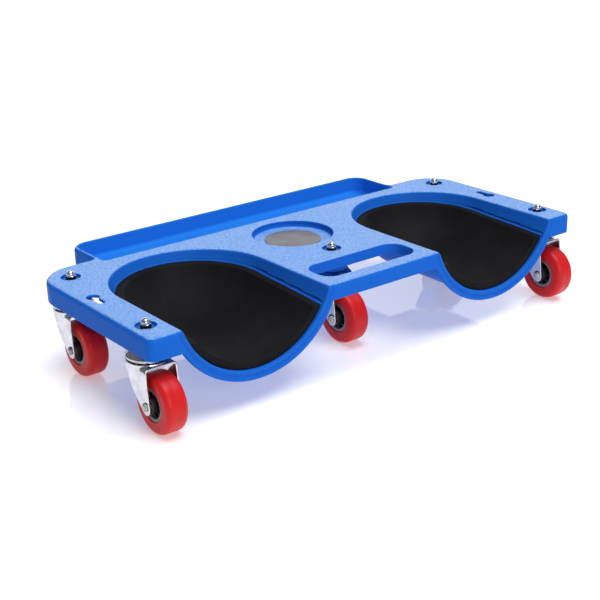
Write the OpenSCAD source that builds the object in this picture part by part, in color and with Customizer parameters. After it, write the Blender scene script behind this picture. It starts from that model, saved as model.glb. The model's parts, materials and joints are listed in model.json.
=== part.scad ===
// Knee creeper: a moulded deck with two padded knee wells, a parts tray,
// a round dish and a handle slot, rolling on five swivel casters.
// The deck is built about the bolt of the centre caster, with +Y towards the tray,
// and then moved so that the origin lies on the floor under the middle of the whole part.

/* [Deck] */
// Width of the deck over both wings
deck_width = 598; // [590:1:640]
// From the centre bolt forward to the front edge
deck_front = 95; // [92:1:100]
// From the centre bolt back to the rear edge of the wings
wing_rear = 150; // [148:1:156]
// Thickness of the top plate
plate = 4; // [3:0.5:5]
// Thickness of the skirts, the ribs and the other hanging walls
skirt_wall = 3.5; // [2.5:0.5:4.5]
// Depth of the skirt below the top face
skirt_depth = 24; // [22:0.5:26]
// Radius of the front outer corners of the wings
wing_front_corner = 9; // [6:1:12]
// Radius of the rear outer corners of the wings
wing_rear_corner = 45; // [35:1:48]
// Radius of the inner corner between a wing and the tray
notch_corner = 7; // [5:0.5:9]

/* [Knee wells] */
// Width of the flat top between a well and the side of the deck
wing_land = 38.5; // [37.5:0.5:41]
// Inside radius of the cradle
well_radius = 95; // [93:0.5:96]
// Height of the cradle's axis above the top face
well_rise = 29; // [27:0.5:32]
// From the centre bolt back to where the round end of a well begins
well_round = 26; // [20:1:30]
// Wall thickness of the cradle
well_wall = 4; // [3:0.5:5]
// Width of the band around the front of a well
lip_band = 11.5; // [10:0.5:14]
// Thickness of that band from front to back
lip_thickness = 5; // [4:0.5:6]
// Width of the groove in the front of the band
lip_groove = 3; // [2:0.5:4]
// Depth of the groove in the front of the band
lip_groove_depth = 1; // [0.5:0.25:2]

/* [Knee pads] */
// Thickness of the foam
pad_thickness = 8; // [6:0.5:10]
// From the top face down to the edge of the foam at the front
pad_drop_front = 19; // [15:0.5:24]
// From the top face down to the edge of the foam at the back
pad_drop_rear = 11; // [8:0.5:20]
// From the front of the band back to the front of the foam
pad_setback = 4; // [2:0.5:8]
// Gap between the foam and the cradle
pad_gap = 0.3; // [0.2:0.05:0.5]

/* [Tray] */
// From the side of the deck in to the side of the tray
tray_inset = 78; // [74:0.5:84]
// From the centre bolt back to the front of the tray's hollow
tray_front = 137; // [135:0.5:139]
// From the centre bolt back to the rear face of the tray
tray_rear = 215; // [205:1:230]
// Depth of the hollow
tray_depth = 22; // [16:0.5:24]
// Thickness of the rim and walls
tray_wall = 4.5; // [3.5:0.5:5.5]
// Thickness of the tray's floor
tray_floor = 3.5; // [2.5:0.5:4]
// Outer radius of the rear corners
tray_corner = 21; // [16:1:26]

/* [Dish and badge] */
// From the centre bolt back to the middle of the dish
dish_back = 72.5; // [72:0.5:76]
// Radius of the dish as a share of the room between its middle and what lies nearest
dish_share = 0.77; // [0.73:0.01:0.8]
// Depth of the dish
dish_depth = 8; // [6:0.5:12]
// Radius of the fillet around the dish's floor
dish_fillet = 4; // [2:0.5:5]
// Radius of the plain badge disc as a share of the dish's radius
badge_share = 0.7; // [0.6:0.01:0.78]
// Thickness of the badge disc
badge_thickness = 0.8; // [0.5:0.1:1.2]

/* [Handle slot] */
// Length of the slot as a share of the width between the two wells
slot_share = 0.825; // [0.76:0.005:0.86]
// From the centre bolt forward to the front side of the slot
slot_front = 75; // [73:0.5:77]
// From the centre bolt forward to the rear side of the slot
slot_rear = 31; // [29:0.5:34]
// Radius of the slot's corners as a share of its width from front to rear
slot_corner_share = 0.385; // [0.3:0.005:0.4]
// Depth of the wall around the slot
slot_depth = 13; // [10:0.5:16]
// Depth of the bar in front of the slot
bar_depth = 17.5; // [15:0.5:20]

/* [Keyholes] */
// From the side of the deck in to a keyhole
keyhole_inset = 17; // [15:0.5:19]
// From the centre bolt back to the middle of a keyhole
keyhole_back = 35; // [25:1:45]
// Radius of the wide end
keyhole_wide = 6.5; // [5.5:0.25:7]
// Radius of the narrow end
keyhole_narrow = 3.25; // [2.5:0.25:3.5]
// From the middle of the wide end to the middle of the narrow end
keyhole_travel = 18; // [14:0.5:22]

/* [Caster places] */
// From the side of the deck in to the front casters
front_caster_inset = 19; // [18:0.5:21]
// From the centre bolt forward to the front casters
front_caster_forward = 57.5; // [52:0.5:60]
// From the side of the deck in to the rear casters
rear_caster_inset = 29; // [24:0.5:33]
// From the centre bolt back to the rear casters
rear_caster_back = 114.5; // [108:0.5:118]
// Outer radius of the boss under each bolt
boss_radius = 17; // [15.5:0.5:18]
// Radius of the round recess that each cap nut sits in
recess_radius = 10.6; // [10:0.1:11.4]
// Depth of that recess
recess_depth = 3.5; // [3:0.25:4.5]

/* [Swivels] */
// Radius of the swivel bolt
kingpin_radius = 3; // [2.5:0.25:3.5]
// Radius of the swivel bolt's low round head
kingpin_head_radius = 8; // [7:0.5:9]
// Height of the swivel bolt's head
kingpin_head_height = 3.5; // [2.5:0.5:4]
// Radius of the upper race
race_radius = 22.5; // [21.5:0.5:23]
// Thickness of the upper race's flange
race_flange = 4.5; // [3:0.5:5]
// Radius of the top of the upper race's tapered neck
race_neck_radius = 18.5; // [17.5:0.5:19]
// Height of that neck
race_neck_height = 3.8; // [2.8:0.2:6]
// Radius of the ring of balls
ball_ring_radius = 17.2; // [16.4:0.1:17.6]
// Radius of one ball
ball_radius = 2.4; // [2:0.1:2.5]
// Number of balls in a swivel
ball_count = 16; // [12:1:18]
// How deep a ball sits in each race
ball_seat = 1; // [0.8:0.1:1.2]

/* [Forks] */
// How far the wheel trails behind the swivel bolt
trail = 20.5; // [19:0.5:22.5]
// Thickness of the fork's sheet
fork_sheet = 2.4; // [2:0.2:3]
// Gap between the side of the tyre and a leg
leg_gap = 3.9; // [3.3:0.1:4.5]
// Radius of the round end of a leg
leg_end = 6.8; // [6.2:0.2:7.4]
// From the axle down to the middle of that round end
leg_drop = 2.4; // [1.6:0.1:2.8]
// How far inside a leg's round end its straight edges are aimed
leg_tuck = 0.6; // [0.4:0.1:1]
// From the axle back to the bend in a leg's rear edge
leg_bend_back = 24; // [22:0.5:26]
// From the axle up to that bend
leg_bend_up = 13; // [10:0.5:16]
// From the swivel bolt forward to the front edge of the crown
crown_front = 23.5; // [23:0.5:25]
// From the swivel bolt back to the rear edge of the legs
crown_rear = 15; // [14:0.5:16.5]
// Gap between the top of the tyre and the crown
crown_gap = 6; // [5:0.5:7]
// Height of the crown's turned-up rim
crown_rim = 1.8; // [1:0.1:2]

/* [Wheels] */
// Diameter over the tyre
wheel_diameter = 63.5; // [61:0.5:65]
// Width of the tyre
tyre_width = 25; // [22:0.5:25.5]
// Radius of the tyre's shoulders
tyre_shoulder = 6; // [4:0.5:7]
// From the tread in to the hub
tyre_depth = 13.75; // [12:0.25:15.5]
// Width of the hub's rim
hub_rim_width = 23; // [20:0.5:23.5]
// Thickness of the hub's rim
hub_rim = 3.5; // [2.5:0.5:4.5]
// Thickness of the web between the hub's barrel and its rim
hub_web = 9; // [6:0.5:12]
// Outer radius of the hub's barrel
hub_barrel = 9; // [8.5:0.25:10]
// Gap between the end of the barrel and a leg
hub_gap = 0.6; // [0.3:0.1:1]
// Radius of the axle bolt
axle_radius = 3; // [2.5:0.25:3.5]
// Outer radius of the bearing sleeve on the axle bolt
sleeve_radius = 6; // [5:0.25:6.5]

/* [Fasteners] */
// Distance across the flats of a cap nut
cap_flats = 10; // [9:0.5:10.5]
// Radius of a cap nut's flange
nut_flange_radius = 7.1; // [6.5:0.1:8]
// Thickness of a cap nut's flange
nut_flange = 1.2; // [0.8:0.1:1.6]
// Height of a cap nut's flange and hexagon together
nut_hex_top = 5; // [4.5:0.25:5.5]
// Radius of a cap nut's dome
nut_dome = 4.75; // [4:0.05:4.75]
// Height of the middle of the dome above the nut's seat
nut_dome_height = 6; // [5.5:0.25:6.5]
// Distance across the flats of the axle heads and axle nuts
axle_flats = 9; // [8.5:0.25:9.5]
// Height of an axle bolt's head
axle_head_height = 2.8; // [2.4:0.2:3.2]
// Height of an axle nut
axle_nut_height = 2.2; // [2:0.1:2.6]
// How far the end of an axle bolt stands out of its nut
thread_end = 0.6; // [0.4:0.1:0.6]

/* [Hidden] */
CASTERS = ["left_front", "left_rear", "centre", "right_front", "right_rear"];
CASTER_PIECES = ["upper_race", "balls", "fork", "sleeve", "axle_bolt", "axle_nut", "hub", "tyre"];
$fn = 96;

// How far a cut runs past the face that it opens
overrun = 1;
// Gap around a part that turns on a shaft
running_fit = 0.05;
// Gap around a bolt in a hole that it only passes through
bolt_fit = 0.2;
// Gap between faces that pass each other as a caster swivels
swivel_gap = 0.3;

side = deck_width / 2;
shell_radius = well_radius + well_wall;
lip_radius = well_radius + lip_band;
well_mouth = sqrt(well_radius * well_radius - well_rise * well_rise);
well_x = side - wing_land - well_mouth;
tongue_side = well_x - well_mouth;
tray_side = side - tray_inset;
tray_bottom = tray_depth + tray_floor;
slot_side = slot_share * tongue_side;
slot_corner = slot_corner_share * (slot_front - slot_rear);
keyhole_x = side - keyhole_inset;
front_caster_x = side - front_caster_inset;
rear_caster_x = side - rear_caster_inset;

// The dish keeps clear of the two wells and of the recess around the centre bolt
well_room = norm([well_x, dish_back - well_round]) - well_mouth;
recess_room = dish_back - recess_radius;
dish_radius = dish_share * min(well_room, recess_room);
badge_radius = badge_share * dish_radius;

wheel_radius = wheel_diameter / 2;
hub_radius = wheel_radius - tyre_depth;
crown_under = wheel_diameter + crown_gap;
crown_top = crown_under + fork_sheet;
ball_height = crown_top + ball_radius - ball_seat;
race_under = ball_height + ball_radius - ball_seat;
mount_height = race_under + race_flange + race_neck_height;
deck_height = mount_height + skirt_depth;
nut_seat = deck_height - recess_depth;
leg_inside = tyre_width / 2 + leg_gap;
leg_outside = leg_inside + fork_sheet;
hub_barrel_side = leg_inside - hub_gap;
kingpin_end = nut_seat + nut_dome_height;
axle_end = leg_outside + axle_nut_height + thread_end;

// Thickness of the ring of material left around the bolt in a hollow boss
boss_core = kingpin_radius + bolt_fit + skirt_wall;
// Depth of the ribs under the plate
rib_depth = 12;

// The front wheels reach furthest forward and the tray furthest back
front_reach = front_caster_forward + trail + wheel_radius;
frame_shift = (front_reach - tray_rear) / 2;

CASTER_SPOTS = [
    [-front_caster_x, -front_caster_forward],
    [-rear_caster_x, rear_caster_back],
    [0, 0],
    [front_caster_x, -front_caster_forward],
    [rear_caster_x, rear_caster_back]
];

// Puts deck shapes, drawn with the top face at zero, at their height above the floor
module on_deck() translate([0, frame_shift, deck_height]) children();

// Puts caster shapes, drawn about the swivel bolt with the floor at zero, at one of the five spots
module at_caster(index) translate([CASTER_SPOTS[index][0], CASTER_SPOTS[index][1] + frame_shift, 0]) children();

module both_sides() {
    children();
    mirror([1, 0, 0]) children();
}

// A flat rectangle with its own radius at each end, from a low to a high y
module rounded_block(half, low, high, low_corner, high_corner) {
    translate([-half, low + low_corner]) square([2 * half, high - low - low_corner - high_corner]);
    translate([-half + low_corner, low]) square([2 * (half - low_corner), high - low - high_corner]);
    translate([-half + high_corner, low + low_corner])
        square([2 * (half - high_corner), high - low - low_corner]);
    for (turn = [-1, 1]) {
        translate([turn * (half - low_corner), low + low_corner]) circle(low_corner);
        translate([turn * (half - high_corner), high - high_corner]) circle(high_corner);
    }
}

// The wings seen from above, drawn in by an inset
module wings_plan(inset) {
    rounded_block(side - inset, inset - deck_front, wing_rear - inset,
        wing_front_corner - inset, wing_rear_corner - inset);
}

// The tray seen from above, drawn in by an inset, from a given front line
module tray_plan(inset, front) {
    rounded_block(tray_side - inset, front, tray_rear - inset, skirt_wall, tray_corner - inset);
}

// The small rounded corner that fills the angle between a wing and the tray
module notch_fill() {
    both_sides()
        difference() {
            translate([tray_side - tray_wall, wing_rear - skirt_wall])
                square([notch_corner + tray_wall, notch_corner + skirt_wall]);
            translate([tray_side + notch_corner, wing_rear + notch_corner]) circle(notch_corner);
        }
}

// A round-ended solid that lies along a well, with its axis above the deck
module well_form(radius, front) {
    translate([well_x, well_round, well_rise])
        rotate([90, 0, 0])
            rotate_extrude() {
                square([radius, well_round + front]);
                intersection() {
                    circle(radius);
                    translate([0, -radius]) square([radius, radius]);
                }
            }
}

// A wide flat block below a given height, used to trim the round forms
module below(height, depth) {
    translate([-side, -deck_front - overrun, height - depth])
        cube([2 * side, deck_front + tray_rear + 2 * overrun, depth]);
}

// Everything under a plane that falls from the round end of a well to its front
module below_slope(front_drop, rear_drop) {
    well_end = well_round + well_mouth;
    translate([-side, 0, 0])
        rotate([90, 0, 90])
            linear_extrude(2 * side)
                polygon([
                    [-deck_front, -front_drop],
                    [-deck_front, -lip_radius],
                    [well_end, -lip_radius],
                    [well_end, -rear_drop]
                ]);
}

module cradle_shells() {
    intersection() {
        both_sides() well_form(shell_radius, deck_front - lip_thickness / 2);
        below(0, shell_radius);
    }
    intersection() {
        both_sides()
            translate([well_x, -deck_front, well_rise])
                rotate([-90, 0, 0]) cylinder(r = lip_radius, h = lip_thickness);
        below(0, lip_radius);
    }
}

module lip_grooves() {
    both_sides()
        translate([well_x, lip_groove_depth - deck_front, well_rise])
            rotate([90, 0, 0])
                difference() {
                    cylinder(r = well_radius + (lip_band + lip_groove) / 2, h = lip_groove_depth + overrun);
                    cylinder(r = well_radius + (lip_band - lip_groove) / 2, h = lip_groove_depth + overrun);
                }
}

module tray_walls() {
    translate([0, 0, -tray_bottom])
        linear_extrude(tray_bottom) tray_plan(0, tray_front - tray_wall);
}

module tray_hollow() {
    translate([0, 0, -tray_depth])
        linear_extrude(tray_depth + overrun) tray_plan(tray_wall, tray_front);
}

module slot_plan(grow) {
    translate([0, -(slot_front + slot_rear) / 2])
        rounded_block(slot_side + grow, -(slot_front - slot_rear) / 2 - grow,
            (slot_front - slot_rear) / 2 + grow, slot_corner + grow, slot_corner + grow);
}

module keyhole_plan() {
    circle(keyhole_wide);
    translate([-keyhole_narrow, 0]) square([2 * keyhole_narrow, keyhole_travel]);
    translate([0, keyhole_travel]) circle(keyhole_narrow);
}

// The two keyholes face opposite ways: the left one has its wide end at the back
module keyholes() {
    for (turn = [-1, 1])
        translate([turn * keyhole_x, keyhole_back, -plate - overrun])
            rotate([0, 0, turn < 0 ? 180 : 0])
                translate([0, -keyhole_travel / 2])
                    linear_extrude(plate + 2 * overrun) keyhole_plan();
}

// The dish's hollow, turned from half of its outline
module dish_form(radius, depth, fillet) {
    translate([0, dish_back, -depth])
        rotate_extrude() {
            translate([0, fillet]) square([radius, depth - fillet + overrun]);
            square([radius - fillet, fillet]);
            translate([radius - fillet, fillet]) circle(fillet);
        }
}

module dish_cup() {
    translate([0, dish_back, -dish_depth - skirt_wall])
        cylinder(r = dish_radius + skirt_wall, h = dish_depth + skirt_wall);
}

// Hollow bosses under the plate, down to the faces that the casters bolt to
module bosses() {
    for (spot = CASTER_SPOTS)
        translate([spot[0], spot[1], -skirt_depth]) cylinder(r = boss_radius, h = skirt_depth);
}

module boss_hollows() {
    for (spot = CASTER_SPOTS)
        translate([spot[0], spot[1], 0]) {
            translate([0, 0, -skirt_depth - overrun])
                difference() {
                    boss_pocket = skirt_depth - recess_depth - plate + overrun;
                    cylinder(r = boss_radius - skirt_wall, h = boss_pocket);
                    cylinder(r = boss_core, h = boss_pocket);
                    for (turn = [45, 135])
                        rotate([0, 0, turn])
                            translate([-boss_radius, -skirt_wall / 2, 0])
                                cube([2 * boss_radius, skirt_wall, boss_pocket]);
                }
            translate([0, 0, -skirt_depth - overrun])
                cylinder(r = kingpin_radius + bolt_fit, h = skirt_depth + 2 * overrun);
            translate([0, 0, -recess_depth]) cylinder(r = recess_radius, h = recess_depth + overrun);
        }
}

// Ribs under the plate, from the bosses to the shells and walls around them
module ribs() {
    difference() {
        union() {
            both_sides() {
                for (spot = [CASTER_SPOTS[3], CASTER_SPOTS[4]])
                    translate([well_x, spot[1] - skirt_wall / 2, -rib_depth])
                        cube([side - skirt_wall - well_x, skirt_wall, rib_depth]);
                translate([keyhole_x - skirt_wall / 2, -front_caster_forward, -rib_depth])
                    cube([skirt_wall, keyhole_back - keyhole_travel + front_caster_forward, rib_depth]);
            }
            translate([-well_x, -skirt_wall / 2, -rib_depth]) cube([2 * well_x, skirt_wall, rib_depth]);
            translate([-skirt_wall / 2, 0, -rib_depth]) cube([skirt_wall, tray_front, rib_depth]);
            for (turn = [-1, 1])
                translate([turn * tongue_side - skirt_wall / 2, well_round, -rib_depth])
                    cube([skirt_wall, tray_front - well_round, rib_depth]);
        }
        dish_form(dish_radius, dish_depth, dish_fillet);
    }
}

// The upright walls around the wings and in front of the tongue, open underneath
module skirts() {
    difference() {
        translate([0, 0, -skirt_depth]) linear_extrude(skirt_depth) wings_plan(0);
        translate([0, 0, -skirt_depth - overrun]) linear_extrude(skirt_depth) wings_plan(skirt_wall);
        translate([-tongue_side - lip_band, -deck_front - overrun, -skirt_depth - overrun])
            cube([2 * (tongue_side + lip_band), skirt_wall + 2 * overrun, skirt_depth - bar_depth + overrun]);
        translate([-tray_side, wing_rear - skirt_wall - overrun, -skirt_depth - overrun])
            cube([2 * tray_side, skirt_wall + 2 * overrun, skirt_depth]);
    }
}

module slot_wall_ring() {
    translate([0, 0, -slot_depth]) linear_extrude(slot_depth) slot_plan(skirt_wall);
}

module deck() {
    color([0.16, 0.42, 0.86])
        on_deck()
            difference() {
                union() {
                    translate([0, 0, -plate])
                        linear_extrude(plate) {
                            wings_plan(0);
                            notch_fill();
                        }
                    translate([0, 0, -skirt_depth]) linear_extrude(skirt_depth) notch_fill();
                    skirts();
                    tray_walls();
                    cradle_shells();
                    slot_wall_ring();
                    dish_cup();
                    bosses();
                    ribs();
                }
                both_sides() well_form(well_radius, deck_front + overrun);
                tray_hollow();
                dish_form(dish_radius, dish_depth, dish_fillet);
                translate([0, 0, -slot_depth - overrun]) linear_extrude(slot_depth + 2 * overrun) slot_plan(0);
                keyholes();
                boss_hollows();
                lip_grooves();
            }
}

// A foam liner of even thickness that follows the cradle, trimmed along a gentle slope
module knee_pad() {
    intersection() {
        difference() {
            well_form(well_radius - pad_gap, deck_front - pad_setback);
            well_form(well_radius - pad_gap - pad_thickness, deck_front + overrun);
        }
        below_slope(pad_drop_front, pad_drop_rear);
    }
}

module knee_pad_left() {
    color([0.11, 0.11, 0.13]) on_deck() mirror([1, 0, 0]) knee_pad();
}

module knee_pad_right() {
    color([0.11, 0.11, 0.13]) on_deck() knee_pad();
}

module badge_disc() {
    color([0.35, 0.36, 0.4])
        on_deck()
            translate([0, dish_back, -dish_depth]) cylinder(r = badge_radius, h = badge_thickness);
}

module hexagon_bar(flats, height) cylinder(r = flats / sqrt(3), h = height, $fn = 6);

module cap_nut() {
    difference() {
        union() {
            cylinder(r = nut_flange_radius, h = nut_flange);
            hexagon_bar(cap_flats, nut_hex_top);
            cylinder(r = nut_dome, h = nut_dome_height);
            translate([0, 0, nut_dome_height]) sphere(nut_dome);
        }
        translate([0, 0, -overrun]) cylinder(r = kingpin_radius + running_fit, h = nut_dome_height + 2 * overrun);
    }
}

module cap_nuts() {
    color([0.82, 0.83, 0.85])
        for (index = [0 : len(CASTERS) - 1])
            at_caster(index) translate([0, 0, nut_seat]) cap_nut();
}

module kingpin_bolts() {
    color([0.7, 0.71, 0.73])
        for (index = [0 : len(CASTERS) - 1])
            at_caster(index) {
                translate([0, 0, crown_under - swivel_gap - kingpin_head_height])
                    cylinder(r = kingpin_head_radius, h = kingpin_head_height);
                translate([0, 0, crown_under - swivel_gap - overrun])
                    cylinder(r = kingpin_radius, h = kingpin_end - crown_under + swivel_gap + overrun);
            }
}

// The ring-shaped groove that the balls run in
module ball_groove(gap) {
    translate([0, 0, ball_height])
        rotate_extrude() translate([ball_ring_radius, 0]) circle(ball_radius + gap, $fn = 48);
}

module upper_race() {
    color([0.8, 0.81, 0.83])
        difference() {
            union() {
                translate([0, 0, race_under]) cylinder(r = race_radius, h = race_flange);
                translate([0, 0, race_under + race_flange])
                    cylinder(r1 = race_radius, r2 = race_neck_radius, h = race_neck_height);
            }
            translate([0, 0, race_under - overrun])
                cylinder(r = kingpin_radius + bolt_fit, h = mount_height - race_under + 2 * overrun);
            ball_groove(swivel_gap);
        }
}

module balls() {
    color([0.75, 0.76, 0.78])
        for (step = [0 : ball_count - 1])
            rotate([0, 0, step * 360 / ball_count])
                translate([ball_ring_radius, 0, ball_height]) sphere(ball_radius, $fn = 32);
}

// Where a line from an outside point touches a circle: turn is 1 or -1 for the two sides
function touch_point(centre, radius, point, turn) =
    let (
        away = point - centre,
        reach = norm(away),
        swing = atan2(away[1], away[0]) + turn * acos(radius / reach)
    )
    [centre[0] + radius * cos(swing), centre[1] + radius * sin(swing)];

// One leg seen from the side: first coordinate along y, second coordinate up
module leg_plan() {
    end_spot = [-trail, wheel_radius - leg_drop];
    front_top = [-crown_front, crown_under];
    bend = [leg_bend_back - trail, wheel_radius + leg_bend_up];
    polygon([
        [-crown_front, crown_top],
        front_top,
        touch_point(end_spot, leg_end - leg_tuck, front_top, 1),
        end_spot,
        touch_point(end_spot, leg_end - leg_tuck, bend, -1),
        bend,
        [crown_rear, crown_under],
        [crown_rear, crown_top]
    ]);
    translate(end_spot) circle(leg_end);
}

module leg() {
    translate([leg_inside, 0, 0])
        rotate([90, 0, 90]) linear_extrude(fork_sheet) leg_plan();
}

module along_axle() translate([0, -trail, wheel_radius]) rotate([0, 90, 0]) children();

module fork() {
    color([0.86, 0.87, 0.89])
        difference() {
            union() {
                translate([0, 0, crown_under]) cylinder(r = race_radius, h = fork_sheet + crown_rim);
                translate([-leg_outside, -crown_front, crown_under])
                    cube([2 * leg_outside, crown_front + crown_rear, fork_sheet]);
                both_sides() leg();
            }
            translate([0, 0, crown_top])
                cylinder(r = race_radius - fork_sheet / 2, h = crown_rim + overrun);
            translate([0, 0, crown_under - overrun])
                cylinder(r = kingpin_radius + running_fit, h = fork_sheet + 2 * overrun);
            ball_groove(running_fit);
            along_axle()
                translate([0, 0, -leg_outside - overrun])
                    cylinder(r = axle_radius + running_fit, h = 2 * (leg_outside + overrun));
        }
}

module sleeve() {
    color([0.6, 0.61, 0.63])
        along_axle()
            difference() {
                translate([0, 0, -leg_inside]) cylinder(r = sleeve_radius, h = 2 * leg_inside);
                translate([0, 0, -leg_inside - overrun])
                    cylinder(r = axle_radius + running_fit, h = 2 * (leg_inside + overrun));
            }
}

// The head is on the +X side and the nut on the -X side of every wheel
module axle_bolt() {
    color([0.72, 0.73, 0.75])
        along_axle() {
            translate([0, 0, -axle_end]) cylinder(r = axle_radius, h = axle_end + leg_outside + overrun);
            translate([0, 0, leg_outside]) hexagon_bar(axle_flats, axle_head_height);
        }
}

module axle_nut() {
    color([0.7, 0.71, 0.73])
        along_axle()
            translate([0, 0, -leg_outside - axle_nut_height])
                difference() {
                    hexagon_bar(axle_flats, axle_nut_height);
                    translate([0, 0, -overrun])
                        cylinder(r = axle_radius + running_fit, h = axle_nut_height + 2 * overrun);
                }
}

module hub() {
    color([0.1, 0.1, 0.11])
        along_axle()
            difference() {
                union() {
                    translate([0, 0, -hub_barrel_side]) cylinder(r = hub_barrel, h = 2 * hub_barrel_side);
                    translate([0, 0, -hub_web / 2]) cylinder(r = hub_radius - hub_rim / 2, h = hub_web);
                    translate([0, 0, -hub_rim_width / 2])
                        difference() {
                            cylinder(r = hub_radius, h = hub_rim_width);
                            translate([0, 0, -overrun])
                                cylinder(r = hub_radius - hub_rim, h = hub_rim_width + 2 * overrun);
                        }
                }
                translate([0, 0, -hub_barrel_side - overrun])
                    cylinder(r = sleeve_radius + running_fit, h = 2 * (hub_barrel_side + overrun));
            }
}

module tyre() {
    tread = wheel_radius - tyre_shoulder;
    tyre_inside = hub_radius + running_fit;
    color([0.86, 0.1, 0.12])
        along_axle()
            rotate_extrude() {
                translate([tyre_inside, -tyre_width / 2]) square([tread - tyre_inside, tyre_width]);
                translate([tyre_inside, tyre_shoulder - tyre_width / 2])
                    square([wheel_radius - tyre_inside, tyre_width - 2 * tyre_shoulder]);
                for (turn = [-1, 1])
                    translate([tread, turn * (tyre_width / 2 - tyre_shoulder)]) circle(tyre_shoulder);
            }
}

// Draws one named piece of one caster
module caster_piece(piece) {
    if (piece == "upper_race") upper_race();
    if (piece == "balls") balls();
    if (piece == "fork") fork();
    if (piece == "sleeve") sleeve();
    if (piece == "axle_bolt") axle_bolt();
    if (piece == "axle_nut") axle_nut();
    if (piece == "hub") hub();
    if (piece == "tyre") tyre();
}

deck();
knee_pad_left();
knee_pad_right();
badge_disc();
cap_nuts();
kingpin_bolts();
for (index = [0 : len(CASTERS) - 1])
    for (piece = CASTER_PIECES)
        at_caster(index) caster_piece(piece);
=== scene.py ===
"""Finished look of a knee creeper: a moulded board with two padded knee wells on five swivel casters.

Shapes are given in millimetres. The deck's own frame has its origin on the centre caster's bolt, at the
height of the deck's top face. A caster's own frame has its origin on the floor under its swivel bolt.
Meshes are made in metres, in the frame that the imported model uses.
"""

import sys

import json
import logging
import math
from abc import ABC, abstractmethod
from collections.abc import Callable, Sequence
from dataclasses import dataclass, field
from enum import Enum

import bpy
import numpy as np
from mathutils import Matrix, Vector


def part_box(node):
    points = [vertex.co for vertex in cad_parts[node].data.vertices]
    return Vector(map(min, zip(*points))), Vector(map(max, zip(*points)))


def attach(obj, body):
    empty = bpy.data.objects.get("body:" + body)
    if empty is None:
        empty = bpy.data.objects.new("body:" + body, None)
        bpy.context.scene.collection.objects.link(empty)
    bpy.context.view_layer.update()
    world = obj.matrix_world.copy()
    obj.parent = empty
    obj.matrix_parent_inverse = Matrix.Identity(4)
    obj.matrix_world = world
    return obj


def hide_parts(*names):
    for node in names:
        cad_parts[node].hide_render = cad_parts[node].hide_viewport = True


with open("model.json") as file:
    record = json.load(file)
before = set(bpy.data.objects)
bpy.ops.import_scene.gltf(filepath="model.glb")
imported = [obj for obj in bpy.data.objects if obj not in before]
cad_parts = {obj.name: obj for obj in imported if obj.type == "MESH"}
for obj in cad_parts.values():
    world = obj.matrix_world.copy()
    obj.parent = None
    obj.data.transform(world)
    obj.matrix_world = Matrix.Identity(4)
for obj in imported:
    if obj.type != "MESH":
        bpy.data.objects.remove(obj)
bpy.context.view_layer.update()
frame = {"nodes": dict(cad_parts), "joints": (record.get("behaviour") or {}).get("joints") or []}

log = logging.getLogger("creeper")

MM = 0.001
Distances = np.ndarray
Rule = Callable[[np.ndarray, np.ndarray, np.ndarray], Distances]
Colour = tuple[float, float, float, float]
Corner = tuple[float, float, float]


class Side(Enum):
    """The two sides of the creeper, as the sign of x."""

    LEFT = -1
    RIGHT = 1


class Place(Enum):
    """The five casters."""

    LEFT_FRONT = "left_front"
    LEFT_REAR = "left_rear"
    CENTRE = "centre"
    RIGHT_FRONT = "right_front"
    RIGHT_REAR = "right_rear"


class Axis(Enum):
    """What a turned piece is turned about."""

    UPRIGHT = "z"
    AXLE = "x"


def caster_spot(place: Place) -> Vector:
    """Where a caster's swivel bolt meets the floor.

    Args:
        place: Which caster.

    Returns:
        The point in metres.
    """
    for joint in frame["joints"]:
        if joint["name"] == f"{place.value}_swivel":
            return Vector((joint["pos_m"][0], joint["pos_m"][1], 0.0))
    raise ValueError(f"no swivel joint for {place.value}")


def deck_origin() -> Vector:
    """The origin of the deck's own frame: over the centre caster's bolt, on the top face.

    Returns:
        The point in metres.
    """
    spot = caster_spot(Place.CENTRE)
    return Vector((spot.x, spot.y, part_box("deck")[1].z))


# Rules for shapes: each gives the distance to a surface, below zero inside


def round_union(first: Distances, second: Distances, radius: float) -> Distances:
    """Joins two shapes with a round fillet in the corner between them.

    Args:
        first: Distances to one shape.
        second: Distances to the other shape.
        radius: The fillet's radius.

    Returns:
        Distances to the joined shape.
    """
    near = np.hypot(np.maximum(radius - first, 0), np.maximum(radius - second, 0))
    return np.maximum(radius, np.minimum(first, second)) - near


def round_meet(first: Distances, second: Distances, radius: float | np.ndarray) -> Distances:
    """Keeps what two shapes share, with a rounded edge where their faces meet.

    Args:
        first: Distances to one shape.
        second: Distances to the other shape.
        radius: The edge's radius, or one for each point.

    Returns:
        Distances to the shared shape.
    """
    near = np.hypot(np.maximum(radius + first, 0), np.maximum(radius + second, 0))
    return np.minimum(-radius, np.maximum(first, second)) + near


def round_cut(body: Distances, tool: Distances, radius: float | np.ndarray) -> Distances:
    """Cuts one shape out of another and rounds the edge that this leaves.

    Args:
        body: Distances to the shape that is cut.
        tool: Distances to the shape that is taken away.
        radius: The edge's radius, or one for each point.

    Returns:
        Distances to what is left.
    """
    return round_meet(body, -tool, radius)


def block_plan(
    across: np.ndarray,
    along: np.ndarray,
    half: float,
    ends: tuple[float, float],
    corners: tuple[float, float],
) -> Distances:
    """A rectangle seen from above with its own corner radius at each end.

    Args:
        across: Distances from the middle line.
        along: Places along the middle line.
        half: Half the rectangle's width.
        ends: Its low and high end.
        corners: The corner radius at the low and at the high end.

    Returns:
        Distances to the outline.
    """
    middle = (ends[0] + ends[1]) / 2
    corner = np.where(along < middle, corners[0], corners[1])
    past_side = np.abs(across) - half + corner
    past_end = np.abs(along - middle) - (ends[1] - ends[0]) / 2 + corner
    outside = np.hypot(np.maximum(past_side, 0), np.maximum(past_end, 0))
    return np.minimum(np.maximum(past_side, past_end), 0) + outside - corner


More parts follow.
